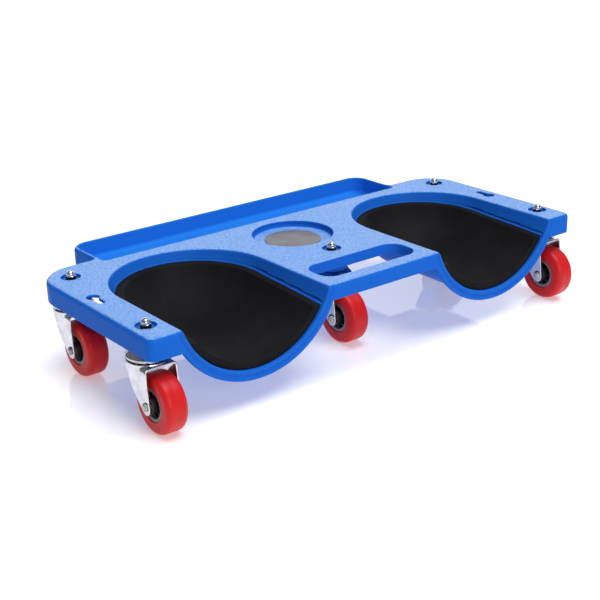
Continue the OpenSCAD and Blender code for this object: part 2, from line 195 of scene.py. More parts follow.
def hexagon_plan(across: np.ndarray, along: np.ndarray, flats: float) -> Distances:
    """A regular hexagon with two corners on the along axis.

    Args:
        across: First coordinate of the points.
        along: Second coordinate of the points.
        flats: Distance across the flats.

    Returns:
        Distances to the outline.
    """
    lean = math.radians(60)
    sides = [np.abs(across)]
    for turn in (-1, 1):
        sides.append(np.abs(across * math.cos(lean) + turn * along * math.sin(lean)))
    return np.maximum.reduce(sides) - flats / 2


# Making meshes


def mesh_of(name: str, points: np.ndarray, faces: Sequence[Sequence[int]]) -> bpy.types.Mesh:
    """A smooth-shaded mesh with its faces outwards.

    Args:
        name: The mesh's name.
        points: The vertices, in metres.
        faces: Vertex numbers of each face.

    Returns:
        The mesh.
    """
    mesh = bpy.data.meshes.new(name)
    mesh.from_pydata(np.asarray(points, float).tolist(), [], [list(face) for face in faces])
    mesh.validate()
    mesh.shade_smooth()
    if signed_volume(mesh) < 0:
        mesh.flip_normals()
    mesh.update()
    return mesh


def signed_volume(mesh: bpy.types.Mesh) -> float:
    """The volume inside a closed mesh.

    Args:
        mesh: The mesh.

    Returns:
        The volume, below zero if the faces point inwards.
    """
    mesh.calc_loop_triangles()
    corners = np.empty(len(mesh.loop_triangles) * 3, np.int32)
    mesh.loop_triangles.foreach_get("vertices", corners)
    points = np.empty(len(mesh.vertices) * 3, np.float32)
    mesh.vertices.foreach_get("co", points)
    first, second, third = points.reshape(-1, 3).astype(float)[corners.reshape(-1, 3)].transpose(1, 0, 2)
    return float(np.einsum("ij,ij->i", first, np.cross(second, third)).sum() / 6)


def evaluated_mesh(piece: bpy.types.Object) -> bpy.types.Mesh:
    """A plain mesh of a piece as its modifiers leave it.

    Args:
        piece: The piece.

    Returns:
        The mesh.
    """
    bpy.context.view_layer.update()
    graph = bpy.context.evaluated_depsgraph_get()
    return bpy.data.meshes.new_from_object(piece.evaluated_get(graph))


def thinned(mesh: bpy.types.Mesh, most: int) -> bpy.types.Mesh:
    """Collapses the flattest edges of a mesh until few enough triangles are left.

    Args:
        mesh: The mesh, which is used up.
        most: The most triangles to keep.

    Returns:
        The thinned mesh, or the same one if it has few enough.
    """
    triangles = sum(len(face.vertices) - 2 for face in mesh.polygons)
    if triangles <= most:
        return mesh
    holder = bpy.data.objects.new("thinning", mesh)
    bpy.context.scene.collection.objects.link(holder)
    modifier = holder.modifiers.new("Thin", "DECIMATE")
    modifier.ratio = most / triangles
    thin = evaluated_mesh(holder)
    bpy.data.objects.remove(holder)
    bpy.data.meshes.remove(mesh)
    return thin


@dataclass(frozen=True)
class Mould:
    """Casts a mesh from a distance rule on a grid of cells.

    Attributes:
        low: Lowest corner of the space that holds the shape, in millimetres.
        high: Highest corner of that space.
        step: Size of a cell.
        most: The most triangles in the cast.
        block: Cells in a block. Blocks far from the surface are skipped.
    """

    low: Corner
    high: Corner
    step: float
    most: int = 190_000
    block: int = 8

    def axes(self) -> list[np.ndarray]:
        """The grid's places along each axis.

        Returns:
            One array for each axis, in millimetres.
        """
        spare = 2 * self.step
        return [
            np.arange(low - spare, high + spare + self.step, self.step)
            for low, high in zip(self.low, self.high)
        ]

    def sample(self, rule: Rule, axes: list[np.ndarray]) -> np.ndarray:
        """Distances at every point of the grid, exact near the surface.

        Args:
            rule: The shape.
            axes: The grid's places along each axis.

        Returns:
            The distances, with the grid's shape.
        """
        shape = tuple(len(axis) for axis in axes)
        counts = [math.ceil(size / self.block) for size in shape]
        middles = [
            axis[0] + ((np.arange(count) + 0.5) * self.block - 0.5) * self.step
            for axis, count in zip(axes, counts)
        ]
        coarse = rule(*np.meshgrid(*middles, indexing="ij"))
        values = coarse
        for axis in range(3):
            values = np.repeat(values, self.block, axis=axis)
        values = values[: shape[0], : shape[1], : shape[2]].copy()
        reach = self.block * self.step * math.sqrt(3) / 2 + 2 * self.step
        spots = np.nonzero(np.abs(values) < reach)
        for part in np.array_split(np.arange(len(spots[0])), max(1, len(spots[0]) // 400_000)):
            chosen = tuple(spot[part] for spot in spots)
            values[chosen] = rule(*(axis[spot] for axis, spot in zip(axes, chosen)))
        return values

    def net(self, rule: Rule) -> tuple[np.ndarray, np.ndarray]:
        """One vertex in each cell that the surface crosses, and a face across each grid edge that it cuts.

        Args:
            rule: The shape.

        Returns:
            The vertices in millimetres, and the faces' vertex numbers.
        """
        axes = self.axes()
        values = self.sample(rule, axes)
        inside = values < 0
        corners = np.array([(i, j, k) for i in (0, 1) for j in (0, 1) for k in (0, 1)])
        size = np.array(values.shape) - 1
        held = sum(
            inside[i : i + size[0], j : j + size[1], k : k + size[2]].astype(np.int8) for i, j, k in corners
        )
        cells = np.argwhere((held > 0) & (held < len(corners)))
        numbers = np.full(size, -1, np.int32)
        numbers[tuple(cells.T)] = np.arange(len(cells))
        around = np.stack([values[tuple((cells + corner).T)] for corner in corners], axis=1)
        total = np.zeros((len(cells), 3))
        crossings = np.zeros((len(cells), 1))
        for one, first in enumerate(corners):
            for other, second in enumerate(corners):
                if other > one and np.abs(second - first).sum() == 1:
                    start, end = around[:, one], around[:, other]
                    cut = ((start < 0) != (end < 0))[:, None]
                    share = np.divide(start, start - end, out=np.zeros_like(start), where=cut[:, 0])[:, None]
                    total += np.where(cut, first + share * (second - first), 0)
                    crossings += cut
        points = (cells + total / crossings) * self.step + np.array([axis[0] for axis in axes])
        faces = []
        for axis in range(3):
            ahead = [slice(None)] * 3
            behind = [slice(None)] * 3
            ahead[axis], behind[axis] = slice(1, None), slice(None, -1)
            solid_first = inside[tuple(behind)]
            edges = np.argwhere(solid_first != inside[tuple(ahead)])
            outwards = solid_first[tuple(edges.T)]
            one, two = np.eye(3, dtype=int)[(axis + 1) % 3], np.eye(3, dtype=int)[(axis + 2) % 3]
            ring = [edges, edges - one, edges - one - two, edges - two]
            quads = np.stack([numbers[tuple(spot.T)] for spot in ring], axis=1)
            quads[~outwards] = quads[~outwards][:, ::-1]
            faces.append(quads)
        return points, np.concatenate(faces)

    def slopes(self, rule: Rule, points: np.ndarray) -> tuple[np.ndarray, np.ndarray]:
        """The distance and its slope at some points.

        Args:
            rule: The shape.
            points: The points, in millimetres.

        Returns:
            The distances, and the slope vectors.
        """
        nudge = 0.04 * self.step
        slope = np.empty_like(points)
        for axis in range(3):
            shift = np.zeros(3)
            shift[axis] = nudge
            slope[:, axis] = (rule(*(points + shift).T) - rule(*(points - shift).T)) / (2 * nudge)
        return rule(*points.T), slope

    def settled(self, rule: Rule, points: np.ndarray, rounds: int = 3) -> np.ndarray:
        """Moves points onto the surface.

        Args:
            rule: The shape.
            points: The points, in millimetres.
            rounds: How many times to correct them.

        Returns:
            The corrected points.
        """
        for _ in range(rounds):
            away, slope = self.slopes(rule, points)
            steep = np.maximum((slope**2).sum(axis=1), 0.3)
            move = np.clip(away / steep, -self.step / 2, self.step / 2)
            points = points - move[:, None] * slope
        return points

    def curving(self, rule: Rule, points: np.ndarray, reach: float = 0.8) -> np.ndarray:
        """How sharply the surface bends at some points: above zero on outer edges, below zero in corners.

        Args:
            rule: The shape.
            points: The points, in millimetres.
            reach: How far around each point to look.

        Returns:
            The bend at each point, in one over millimetres.
        """
        bend = -6 * rule(*points.T)
        for axis in range(3):
            shift = np.zeros(3)
            shift[axis] = reach
            bend += rule(*(points + shift).T) + rule(*(points - shift).T)
        return bend / reach**2

    def cast(self, name: str, rule: Rule, origin: Vector) -> bpy.types.Mesh:
        """Makes the mesh, with its normals and its bend taken from the rule.

        Args:
            name: The mesh's name.
            rule: The shape, in its own frame in millimetres.
            origin: Where that frame's origin lies, in metres.

        Returns:
            The mesh, in metres.
        """
        points, faces = self.net(rule)
        mesh = thinned(mesh_of(name, self.settled(rule, points), faces.tolist()), self.most)
        flat = np.empty(len(mesh.vertices) * 3, np.float32)
        mesh.vertices.foreach_get("co", flat)
        points = self.settled(rule, flat.reshape(-1, 3).astype(float), rounds=2)
        _, slope = self.slopes(rule, points)
        length = np.maximum(np.linalg.norm(slope, axis=1, keepdims=True), 1e-9)
        place = points * MM + np.array(origin)
        mesh.vertices.foreach_set("co", place.astype(np.float32).ravel())
        mesh.update()
        mesh.name = name
        mesh.shade_smooth()
        mesh.normals_split_custom_set_from_vertices((slope / length).tolist())
        bend = mesh.attributes.new("bend", "FLOAT", "POINT")
        bend.data.foreach_set("value", self.curving(rule, points).astype(np.float32))
        return mesh


def eased(corners: Sequence[Corner], steps: int = 6) -> np.ndarray:
    """A closed outline with each corner turned into an arc.

    Args:
        corners: Each corner's two coordinates and its radius.
        steps: Points along an arc.

    Returns:
        The outline's points.
    """
    points: list[np.ndarray] = []
    spots = np.array([corner[:2] for corner in corners], float)
    for index, (_, _, radius) in enumerate(corners):
        here = spots[index]
        before = spots[index - 1] - here
        after = spots[(index + 1) % len(spots)] - here
        if radius <= 0:
            points.append(here)
            continue
        before, after = before / np.linalg.norm(before), after / np.linalg.norm(after)
        half = math.acos(float(np.clip(before @ after, -1, 1))) / 2
        middle = (before + after) / np.linalg.norm(before + after)
        centre = here + middle * radius / math.sin(half)
        start = here + before * radius / math.tan(half) - centre
        end = here + after * radius / math.tan(half) - centre
        sweep = math.atan2(start[0] * end[1] - start[1] * end[0], start @ end)
        for step in range(steps + 1):
            turn = sweep * step / steps
            cosine, sine = math.cos(turn), math.sin(turn)
            arm = np.array([cosine * start[0] - sine * start[1], sine * start[0] + cosine * start[1]])
            points.append(centre + arm)
    return np.array(points)


def turned(name: str, outline: np.ndarray, axis: Axis, origin: Vector, around: int = 112) -> bpy.types.Mesh:
    """Turns a closed outline about an axis, as a lathe does.

    Args:
        name: The mesh's name.
        outline: Points of radius and height along the axis, in millimetres.
        axis: What it is turned about.
        origin: A point on the axis at height zero, in metres.
        around: Faces around the turn.

    Returns:
        The mesh, in metres.
    """
    angles = np.arange(around) * 2 * math.pi / around
    radius, height = outline[:, 0][:, None], outline[:, 1][:, None] * np.ones(around)
    first, second = radius * np.cos(angles), radius * np.sin(angles)
    ordered = (first, second, height) if axis is Axis.UPRIGHT else (height, first, second)
    points = np.stack(ordered, axis=-1).reshape(-1, 3) * MM + np.array(origin)
    faces = []
    for row in range(len(outline)):
        after = (row + 1) % len(outline)
        for column in range(around):
            beside = (column + 1) % around
            here, there = row * around, after * around
            faces.append((here + column, there + column, there + beside, here + beside))
    return mesh_of(name, points, faces)


def flat_edged(mesh: bpy.types.Mesh, degrees: float = 35.0) -> bpy.types.Mesh:
    """Marks the sharp edges of a mesh, so that its flat faces look flat.

    Args:
        mesh: The mesh.
        degrees: Edges that bend further than this are sharp.

    Returns:
        The same mesh.
    """
    mesh.set_sharp_from_angle(angle=math.radians(degrees))
    return mesh


def joined(name: str, meshes: Sequence[bpy.types.Mesh]) -> bpy.types.Mesh:
    """One mesh of several.

    Args:
        name: The new mesh's name.
        meshes: The meshes.

    Returns:
        The new mesh.
    """
    points: list[tuple[float, float, float]] = []
    faces: list[list[int]] = []
    for mesh in meshes:
        start = len(points)
        points += [tuple(vertex.co) for vertex in mesh.vertices]
        faces += [[start + index for index in face.vertices] for face in mesh.polygons]
    return flat_edged(mesh_of(name, np.array(points), faces), degrees=40)


# Copies made with geometry nodes


@dataclass(frozen=True)
class Copies(ABC):
    """Repeats one shape with geometry nodes.

    Attributes:
        name: Name of the node tree.
    """

    name: str

    @abstractmethod
    def inputs(self) -> dict[str, tuple[str, int | float]]:
        """The inputs that only this layout has.

        Returns:
            The socket type and the value of each input, by its label.
        """

    @abstractmethod
    def lay_out(self, tree: bpy.types.NodeTree, given: bpy.types.Node, copies: bpy.types.Node) -> None:
        """Links the points, and what varies from copy to copy, to the node that makes the copies.

        Args:
            tree: The node tree.
            given: The node with the tree's inputs.
            copies: The node that puts a copy on each point.
        """

    def tree(self) -> tuple[bpy.types.NodeTree, dict[str, str]]:
        """Builds the node tree.

        Returns:
            The tree, and the identifier of each named input.
        """
        tree = bpy.data.node_groups.new(self.name, "GeometryNodeTree")
        kinds = {
            "Geometry": "NodeSocketGeometry",
            "Template": "NodeSocketObject",
            "Finish": "NodeSocketMaterial",
        }
        kinds.update({label: kind for label, (kind, _) in self.inputs().items()})
        keys = {}
        for label, kind in kinds.items():
            keys[label] = tree.interface.new_socket(name=label, in_out="INPUT", socket_type=kind).identifier
        tree.interface.new_socket(name="Geometry", in_out="OUTPUT", socket_type="NodeSocketGeometry")
        given = tree.nodes.new("NodeGroupInput")
        template = tree.nodes.new("GeometryNodeObjectInfo")
        copies = tree.nodes.new("GeometryNodeInstanceOnPoints")
        real = tree.nodes.new("GeometryNodeRealizeInstances")
        finish = tree.nodes.new("GeometryNodeSetMaterial")
        result = tree.nodes.new("NodeGroupOutput")
        self.lay_out(tree, given, copies)
        for start, end in (
            (given.outputs["Template"], template.inputs["Object"]),
            (template.outputs["Geometry"], copies.inputs["Instance"]),
            (copies.outputs["Instances"], real.inputs["Geometry"]),
            (real.outputs["Geometry"], finish.inputs["Geometry"]),
            (given.outputs["Finish"], finish.inputs["Material"]),
            (finish.outputs["Geometry"], result.inputs["Geometry"]),
        ):
            tree.links.new(start, end)
        return tree, keys

    def mesh(
        self, template: bpy.types.Mesh, finish: bpy.types.Material, spots: Sequence[Vector] = ()
    ) -> bpy.types.Mesh:
        """One plain mesh of all the copies, in metres.

        Args:
            template: The shape to repeat, in metres about its own origin.
            finish: The material of the copies.
            spots: Points that the layout starts from, if it needs any.

        Returns:
            The mesh.
        """
        tree, keys = self.tree()
        shape = bpy.data.objects.new(f"{self.name}_template", template)
        start = bpy.data.meshes.new(f"{self.name}_start")
        start.from_pydata([tuple(spot) for spot in spots], [], [])
        holder = bpy.data.objects.new(f"{self.name}_holder", start)
        for thing in (shape, holder):
            bpy.context.scene.collection.objects.link(thing)
        modifier = holder.modifiers.new("Copies", "NODES")
        modifier.node_group = tree
        modifier[keys["Template"]] = shape
        modifier[keys["Finish"]] = finish
        for label, (_, value) in self.inputs().items():
            modifier[keys[label]] = value
        result = evaluated_mesh(holder)
        holder.modifiers.remove(modifier)
        for thing in (shape, holder):
            bpy.data.objects.remove(thing)
        return result


@dataclass(frozen=True)
class RingOfCopies(Copies):
    """Repeats one shape evenly around the z axis, each copy turned with its place.

    Attributes:
        count: How many copies.
        radius: How far from the axis each one lies, in millimetres.
    """

    count: int
    radius: float

    def inputs(self) -> dict[str, tuple[str, int | float]]:
        """The inputs that only this layout has.

        Returns:
            The socket type and the value of each input, by its label.
        """
        return {"Count": ("NodeSocketInt", self.count), "Radius": ("NodeSocketFloat", self.radius * MM)}

    def lay_out(self, tree: bpy.types.NodeTree, given: bpy.types.Node, copies: bpy.types.Node) -> None:
        """Spaces the points round a circle and turns each copy by its share of a full turn.

        Args:
            tree: The node tree.
            given: The node with the tree's inputs.
            copies: The node that puts a copy on each point.
        """
        circle = tree.nodes.new("GeometryNodeMeshCircle")
        index = tree.nodes.new("GeometryNodeInputIndex")
        share = tree.nodes.new("ShaderNodeMath")
        share.operation = "DIVIDE"
        angle = tree.nodes.new("ShaderNodeMath")
        angle.operation = "MULTIPLY"
        angle.inputs[1].default_value = 2 * math.pi
        euler = tree.nodes.new("ShaderNodeCombineXYZ")
        turn = tree.nodes.new("FunctionNodeEulerToRotation")
        for start, end in (
            (given.outputs["Count"], circle.inputs["Vertices"]),
            (given.outputs["Radius"], circle.inputs["Radius"]),
            (index.outputs["Index"], share.inputs[0]),
            (given.outputs["Count"], share.inputs[1]),
            (share.outputs[0], angle.inputs[0]),
            (angle.outputs[0], euler.inputs["Z"]),
            (euler.outputs[0], turn.inputs[0]),
            (circle.outputs["Mesh"], copies.inputs["Points"]),
            (turn.outputs[0], copies.inputs["Rotation"]),
        ):
            tree.links.new(start, end)


@dataclass(frozen=True)
class CopiesAtSpots(Copies):
    """Repeats one shape at given places.

    Attributes:
        size: How large each copy is, where one is its true size.
    """

    size: float = 1.0

    def inputs(self) -> dict[str, tuple[str, int | float]]:
        """The inputs that only this layout has.

        Returns:
            The socket type and the value of each input, by its label.
        """
        return {"Size": ("NodeSocketFloat", self.size)}

    def lay_out(self, tree: bpy.types.NodeTree, given: bpy.types.Node, copies: bpy.types.Node) -> None:
        """Puts a copy on each point that the tree is given.

        Args:
            tree: The node tree.
            given: The node with the tree's inputs.
            copies: The node that puts a copy on each point.
        """
        tree.links.new(given.outputs["Geometry"], copies.inputs["Points"])
        tree.links.new(given.outputs["Size"], copies.inputs["Scale"])


# Finishes


class Graph:
    """The nodes of one material, built around a single shader."""

    def __init__(self, name: str) -> None:
        """Starts an empty material.

        Args:
            name: The material's name.
        """
        self.material = bpy.data.materials.new(name)
        self.material.use_nodes = True
        self.tree = self.material.node_tree
        self.tree.nodes.clear()
        self.shader = self.tree.nodes.new("ShaderNodeBsdfPrincipled")
        output = self.tree.nodes.new("ShaderNodeOutputMaterial")
        self.tree.links.new(self.shader.outputs["BSDF"], output.inputs["Surface"])
        self.place = self.tree.nodes.new("ShaderNodeTexCoord").outputs["Object"]

    def give(self, socket: str, value: bpy.types.NodeSocket | float | Colour) -> None:
        """Sets or links one of the shader's sockets.

        Args:
            socket: The socket's name.
            value: What it gets.
        """
        self.join(value, self.shader.inputs[socket])

    def join(self, value: bpy.types.NodeSocket | float | Colour, socket: bpy.types.NodeSocket) -> None:
        """Links a value to a socket, or sets it there.

        Args:
            value: The value.
            socket: The socket.
        """
        if isinstance(value, bpy.types.NodeSocket):
            self.tree.links.new(value, socket)
        else:
            socket.default_value = value

    def noise(
        self, size: float, detail: float = 2.0, stretch: Corner = (1.0, 1.0, 1.0)
    ) -> bpy.types.NodeSocket:
        """Soft random variation.

        Args:
            size: Width of a typical spot, in millimetres.
            detail: How many finer layers it has.
            stretch: How many times finer it is along each axis.

        Returns:
            The variation, about 0.5.
        """
        mapping = self.tree.nodes.new("ShaderNodeMapping")
        mapping.inputs["Scale"].default_value = stretch
        self.tree.links.new(self.place, mapping.inputs["Vector"])
        texture = self.tree.nodes.new("ShaderNodeTexNoise")
        texture.inputs["Scale"].default_value = 1 / (size * MM)
        texture.inputs["Detail"].default_value = detail
        self.tree.links.new(mapping.outputs["Vector"], texture.inputs["Vector"])
        return texture.outputs["Fac"]

    def attribute(self, name: str) -> bpy.types.NodeSocket:
        """A value that the mesh carries.

        Args:
            name: The attribute's name.

        Returns:
            The value.
        """
        node = self.tree.nodes.new("ShaderNodeAttribute")
        node.attribute_name = name
        return node.outputs["Fac"]

    def height(self) -> bpy.types.NodeSocket:
        """How high a point lies.

        Returns:
            Its height above the floor, in metres.
        """
        return self.part(self.place, "Z")

    def facing_up(self) -> bpy.types.NodeSocket:
        """How far the surface faces up.

        Returns:
            One if it is level, zero if upright.
        """
        return self.part(self.tree.nodes.new("ShaderNodeNewGeometry").outputs["Normal"], "Z")

    def part(self, vector: bpy.types.NodeSocket, axis: str) -> bpy.types.NodeSocket:
        """One part of a vector.

        Args:
            vector: The vector.
            axis: X, Y or Z.

        Returns:
            The part along that axis.
        """
        node = self.tree.nodes.new("ShaderNodeSeparateXYZ")
        self.tree.links.new(vector, node.inputs["Vector"])
        return node.outputs[axis]

    def within(self, axis: str, low: float, high: float) -> bpy.types.NodeSocket:
        """Whether a point lies between two places along an axis.

        Args:
            axis: X, Y or Z.
            low: The lower place, in metres.
            high: The higher place, in metres.

        Returns:
            One inside, zero outside, with ends a millimetre soft.
        """
        place = self.part(self.place, axis)
        start = self.spread(place, (low, low + MM))
        return self.times(start, self.spread(place, (high - MM, high), (1.0, 0.0)))

    def spread(
        self,
        value: bpy.types.NodeSocket,
        source: tuple[float, float],
        target: tuple[float, float] = (0.0, 1.0),
    ) -> bpy.types.NodeSocket:
        """Carries a value from one range to another, with soft ends.

        Args:
            value: The value.
            source: Its low and high.
            target: What they become.

        Returns:
            The new value.
        """
        node = self.tree.nodes.new("ShaderNodeMapRange")
        node.interpolation_type = "SMOOTHSTEP"
        for socket, number in zip(("From Min", "From Max", "To Min", "To Max"), (*source, *target)):
            node.inputs[socket].default_value = number
        self.tree.links.new(value, node.inputs["Value"])
        return node.outputs["Result"]

    def sum(self, first: bpy.types.NodeSocket, second: bpy.types.NodeSocket | float) -> bpy.types.NodeSocket:
        """Adds two values.

        Args:
            first: The first value.
            second: The second value.

        Returns:
            Their sum.
        """
        return self.math("ADD", first, second)

    def times(
        self, first: bpy.types.NodeSocket, second: bpy.types.NodeSocket | float
    ) -> bpy.types.NodeSocket:
        """Multiplies two values.

        Args:
            first: The first value.
            second: The second value.

        Returns:
            Their product.
        """
        return self.math("MULTIPLY", first, second)

    def math(
        self, kind: str, first: bpy.types.NodeSocket, second: bpy.types.NodeSocket | float
    ) -> bpy.types.NodeSocket:
        """Does one sum with two values.

        Args:
            kind: Blender's name for the sum.
            first: The first value.
            second: The second value.

        Returns:
            The result.
        """
        node = self.tree.nodes.new("ShaderNodeMath")
        node.operation = kind
        self.join(first, node.inputs[0])
        self.join(second, node.inputs[1])
        return node.outputs[0]

    def mixed(
        self,
        share: bpy.types.NodeSocket,
        first: bpy.types.NodeSocket | Colour,
        second: bpy.types.NodeSocket | Colour,
    ) -> bpy.types.NodeSocket:
        """Mixes two colours.

        Args:
            share: How much of the second colour.
            first: The first colour.
            second: The second colour.

        Returns:
            The mixed colour.
        """
        node = self.tree.nodes.new("ShaderNodeMix")
        node.data_type = "RGBA"
        self.tree.links.new(share, node.inputs[0])
        self.join(first, node.inputs[6])
        self.join(second, node.inputs[7])
        return node.outputs[2]

    def raise_by(self, height: bpy.types.NodeSocket, depth: float, strength: float = 1.0) -> None:
        """Roughens the surface.

        Args:
            height: The pattern.
            depth: How far it stands out, in millimetres.
            strength: How much of that is seen.
        """
        node = self.tree.nodes.new("ShaderNodeBump")
        node.inputs["Strength"].default_value = strength
        node.inputs["Distance"].default_value = depth * MM
        self.tree.links.new(height, node.inputs["Height"])
        self.tree.links.new(node.outputs["Normal"], self.shader.inputs["Normal"])


@dataclass(frozen=True)
class Finish(ABC):
    """A finish: the name of its material, and the record's slot for it."""

    name: str
    slot: str

    @abstractmethod
    def material(self) -> bpy.types.Material:
        """Builds the material.

        Returns:
            The material.
        """


@dataclass(frozen=True)
class MouldedPlastic(Finish):
    """Blue polypropylene: grained on the flat top, smooth on the walls, paler along its edges as wear and
    painted highlight.

    Attributes:
        top: Height of the grained face, in metres.
        dish: How far the floor of the dish, which is grained too, lies below it, in metres.
        colour: Colour of the smooth walls.
        grained: Colour of the grained face.
        fleck: Colour of the grain's brightest points.
        rubbed_highlight: Colour of the edges, partly wear and partly a painted highlight.
        tray: Lighter colour of the walls inside the tray, a painted light standing in for light reaching
            them.
        tray_half: Half the tray's inside width, in metres.
        tray_ends: Front and rear of the tray's inside, in metres.
    """

    top: float = 0.107
    dish: float = 0.008
    colour: Colour = (0.011, 0.128, 0.6, 1.0)
    grained: Colour = (0.11, 0.3, 0.77, 1.0)
    fleck: Colour = (0.28, 0.5, 0.93, 1.0)
    rubbed_highlight: Colour = (0.05, 0.24, 0.74, 1.0)
    tray: Colour = (0.02, 0.22, 0.78, 1.0)
    tray_half: float = 0.2175
    tray_ends: tuple[float, float] = (0.084, 0.159)

    def material(self) -> bpy.types.Material:
        """Builds the material.

        Returns:
            The material.
        """
        graph = Graph(self.name)
        level = graph.spread(graph.facing_up(), (0.72, 0.99))
        height = graph.height()
        upper = graph.spread(height, (self.top - 0.003, self.top - 0.0022))
        floor = self.top - self.dish
        lower = graph.times(
            graph.spread(height, (floor - 0.0025, floor - 0.0015)),
            graph.spread(height, (floor + 0.0018, floor + 0.0028), (1.0, 0.0)),
        )
        flat = graph.times(level, graph.sum(upper, lower))
        patchy = graph.spread(graph.noise(60.0, 3.0), (0.35, 0.65))
        grain = graph.noise(2.5, 5.0)
        # Wear and painted highlight: the outer edges, found from the bend, are made paler in patches.
        edge = graph.spread(graph.attribute("bend"), (0.2, 0.8))
        worn_highlight = graph.times(edge, graph.spread(graph.noise(7.0, 5.0), (0.4, 0.62), (0.1, 0.4)))
        # Painted light: the walls inside the tray get a lighter blue than the other walls, as if more light
        # reached them.
        across = graph.within("X", -self.tray_half, self.tray_half)
        inside = graph.times(across, graph.within("Y", *self.tray_ends))
        smooth = graph.mixed(inside, self.colour, self.tray)
        base = graph.mixed(flat, smooth, self.grained)
        flecks = graph.times(flat, graph.spread(grain, (0.36, 0.64), (0.0, 0.8)))
        speckled = graph.mixed(flecks, base, self.fleck)
        graph.give("Base Color", graph.mixed(graph.times(worn_highlight, 0.6), speckled, self.rubbed_highlight))
        shine = graph.sum(graph.times(flat, 0.2), graph.spread(patchy, (0.0, 1.0), (0.25, 0.31)))
        graph.give("Roughness", shine)
        graph.give("Specular IOR Level", graph.sum(graph.times(flat, 0.43), 0.02))
        graph.raise_by(graph.times(grain, graph.spread(flat, (0.0, 1.0), (0.05, 1.0))), 0.35, 0.55)
        return graph.material


@dataclass(frozen=True)
class Foam(Finish):
    """Near-black closed-cell foam with a fine matt skin.

    Attributes:
        colour: Colour of the foam.
        dusty: Colour where dust has settled in the skin.
    """

    colour: Colour = (0.0045, 0.0042, 0.006, 1.0)
    dusty: Colour = (0.009, 0.0088, 0.0105, 1.0)

    def material(self) -> bpy.types.Material:
        """Builds the material.

        Returns:
            The material.
        """
        graph = Graph(self.name)
        cells = graph.noise(0.9, 3.0)
        cloud = graph.spread(graph.noise(38.0, 4.0), (0.38, 0.7), (0.0, 0.8))
        graph.give("Base Color", graph.mixed(cloud, self.colour, self.dusty))
        graph.give("Roughness", graph.spread(cells, (0.3, 0.7), (0.66, 0.84)))
        graph.give("Specular IOR Level", 0.16)
        graph.raise_by(cells, 0.22, 0.5)
        return graph.material


@dataclass(frozen=True)
class PlatedMetal(Finish):
    """Plated steel.

    Attributes:
        colour: Colour of the plating.
        dull: Colour of its dull patches.
        rough: Roughness where it is brightest and dullest.
        grain: Size of the drawing marks in millimetres.
        painted_shade: Dark colour painted on as shade, where the piece sits down in a recess.
        shade_to: Height up to which that painted shade reaches, in metres. None is painted if it is zero.
    """

    colour: Colour = (0.82, 0.83, 0.85, 1.0)
    dull: Colour = (0.6, 0.62, 0.64, 1.0)
    rough: tuple[float, float] = (0.12, 0.26)
    grain: float = 1.4
    painted_shade: Colour = (0.07, 0.07, 0.08, 1.0)
    shade_to: float = 0.0

    def material(self) -> bpy.types.Material:
        """Builds the material.

        Returns:
            The material.
        """
        graph = Graph(self.name)
        cloud = graph.spread(graph.noise(9.0, 4.0), (0.35, 0.7))
        lines = graph.noise(self.grain, 3.0, (1.0, 1.0, 9.0))
        base = graph.mixed(cloud, self.colour, self.dull)
        # Painted shade: below the given height the colour turns dark, standing in for the shade inside the
        # recess.
        if self.shade_to > 0:
            above_shade = graph.spread(graph.height(), (self.shade_to - MM, self.shade_to))
            base = graph.mixed(above_shade, self.painted_shade, base)
        graph.give("Base Color", base)
        graph.give("Metallic", 1.0)
        haze = graph.sum(graph.times(cloud, 0.6), graph.times(lines, 0.4))
        graph.give("Roughness", graph.spread(haze, (0.1, 0.8), self.rough))
        graph.raise_by(lines, 0.02, 0.3)
        return graph.material


@dataclass(frozen=True)
class CastPolyurethane(Finish):
    """Glossy red tyre, faintly scuffed where it rolls.

    Attributes:
        colour: Colour of the tyre.
        scuffed: Colour of the scuffs.
    """

    colour: Colour = (0.62, 0.011, 0.013, 1.0)
    scuffed: Colour = (0.53, 0.014, 0.017, 1.0)

    def material(self) -> bpy.types.Material:
        """Builds the material.

        Returns:
            The material.
        """
        graph = Graph(self.name)
        cloud = graph.noise(5.0, 5.0)
        scuffs = graph.spread(cloud, (0.5, 0.8), (0.0, 0.5))
        graph.give("Base Color", graph.mixed(scuffs, self.colour, self.scuffed))
        graph.give("Roughness", graph.spread(cloud, (0.3, 0.75), (0.34, 0.42)))
        graph.give("Specular IOR Level", 0.25)
        graph.give("Subsurface Weight", 0.08)
        graph.give("Subsurface Scale", 0.003)
        graph.give("Subsurface Radius", (1.0, 0.2, 0.1))
        graph.raise_by(graph.noise(2.2, 3.0), 0.03, 0.2)
        return graph.material


@dataclass(frozen=True)
class Nylon(Finish):
    """Satin black nylon of the wheel hubs, with faint mould marks.

    Attributes:
        colour: Colour of the nylon.
        dusty: Colour of its dusty patches.
        rim: Colour of the rim's flat ring, a pale grey that is a painted reflection of light.
    """

    colour: Colour = (0.008, 0.008, 0.009, 1.0)
    dusty: Colour = (0.03, 0.03, 0.032, 1.0)
    rim: Colour = (0.2, 0.165, 0.185, 1.0)

    def material(self) -> bpy.types.Material:
        """Builds the material.

        Returns:
            The material.
        """
        graph = Graph(self.name)
        cloud = graph.noise(4.0, 4.0)
        base = graph.mixed(graph.spread(cloud, (0.5, 0.8), (0.0, 0.6)), self.colour, self.dusty)
        # Painted reflection: the rim's flat ring is coloured pale grey, standing in for light reflected off
        # it.
        graph.give("Base Color", graph.mixed(graph.attribute("rim"), base, self.rim))
        graph.give("Roughness", graph.spread(cloud, (0.3, 0.7), (0.3, 0.48)))
        graph.raise_by(graph.noise(0.8, 3.0), 0.04, 0.4)
        return graph.material


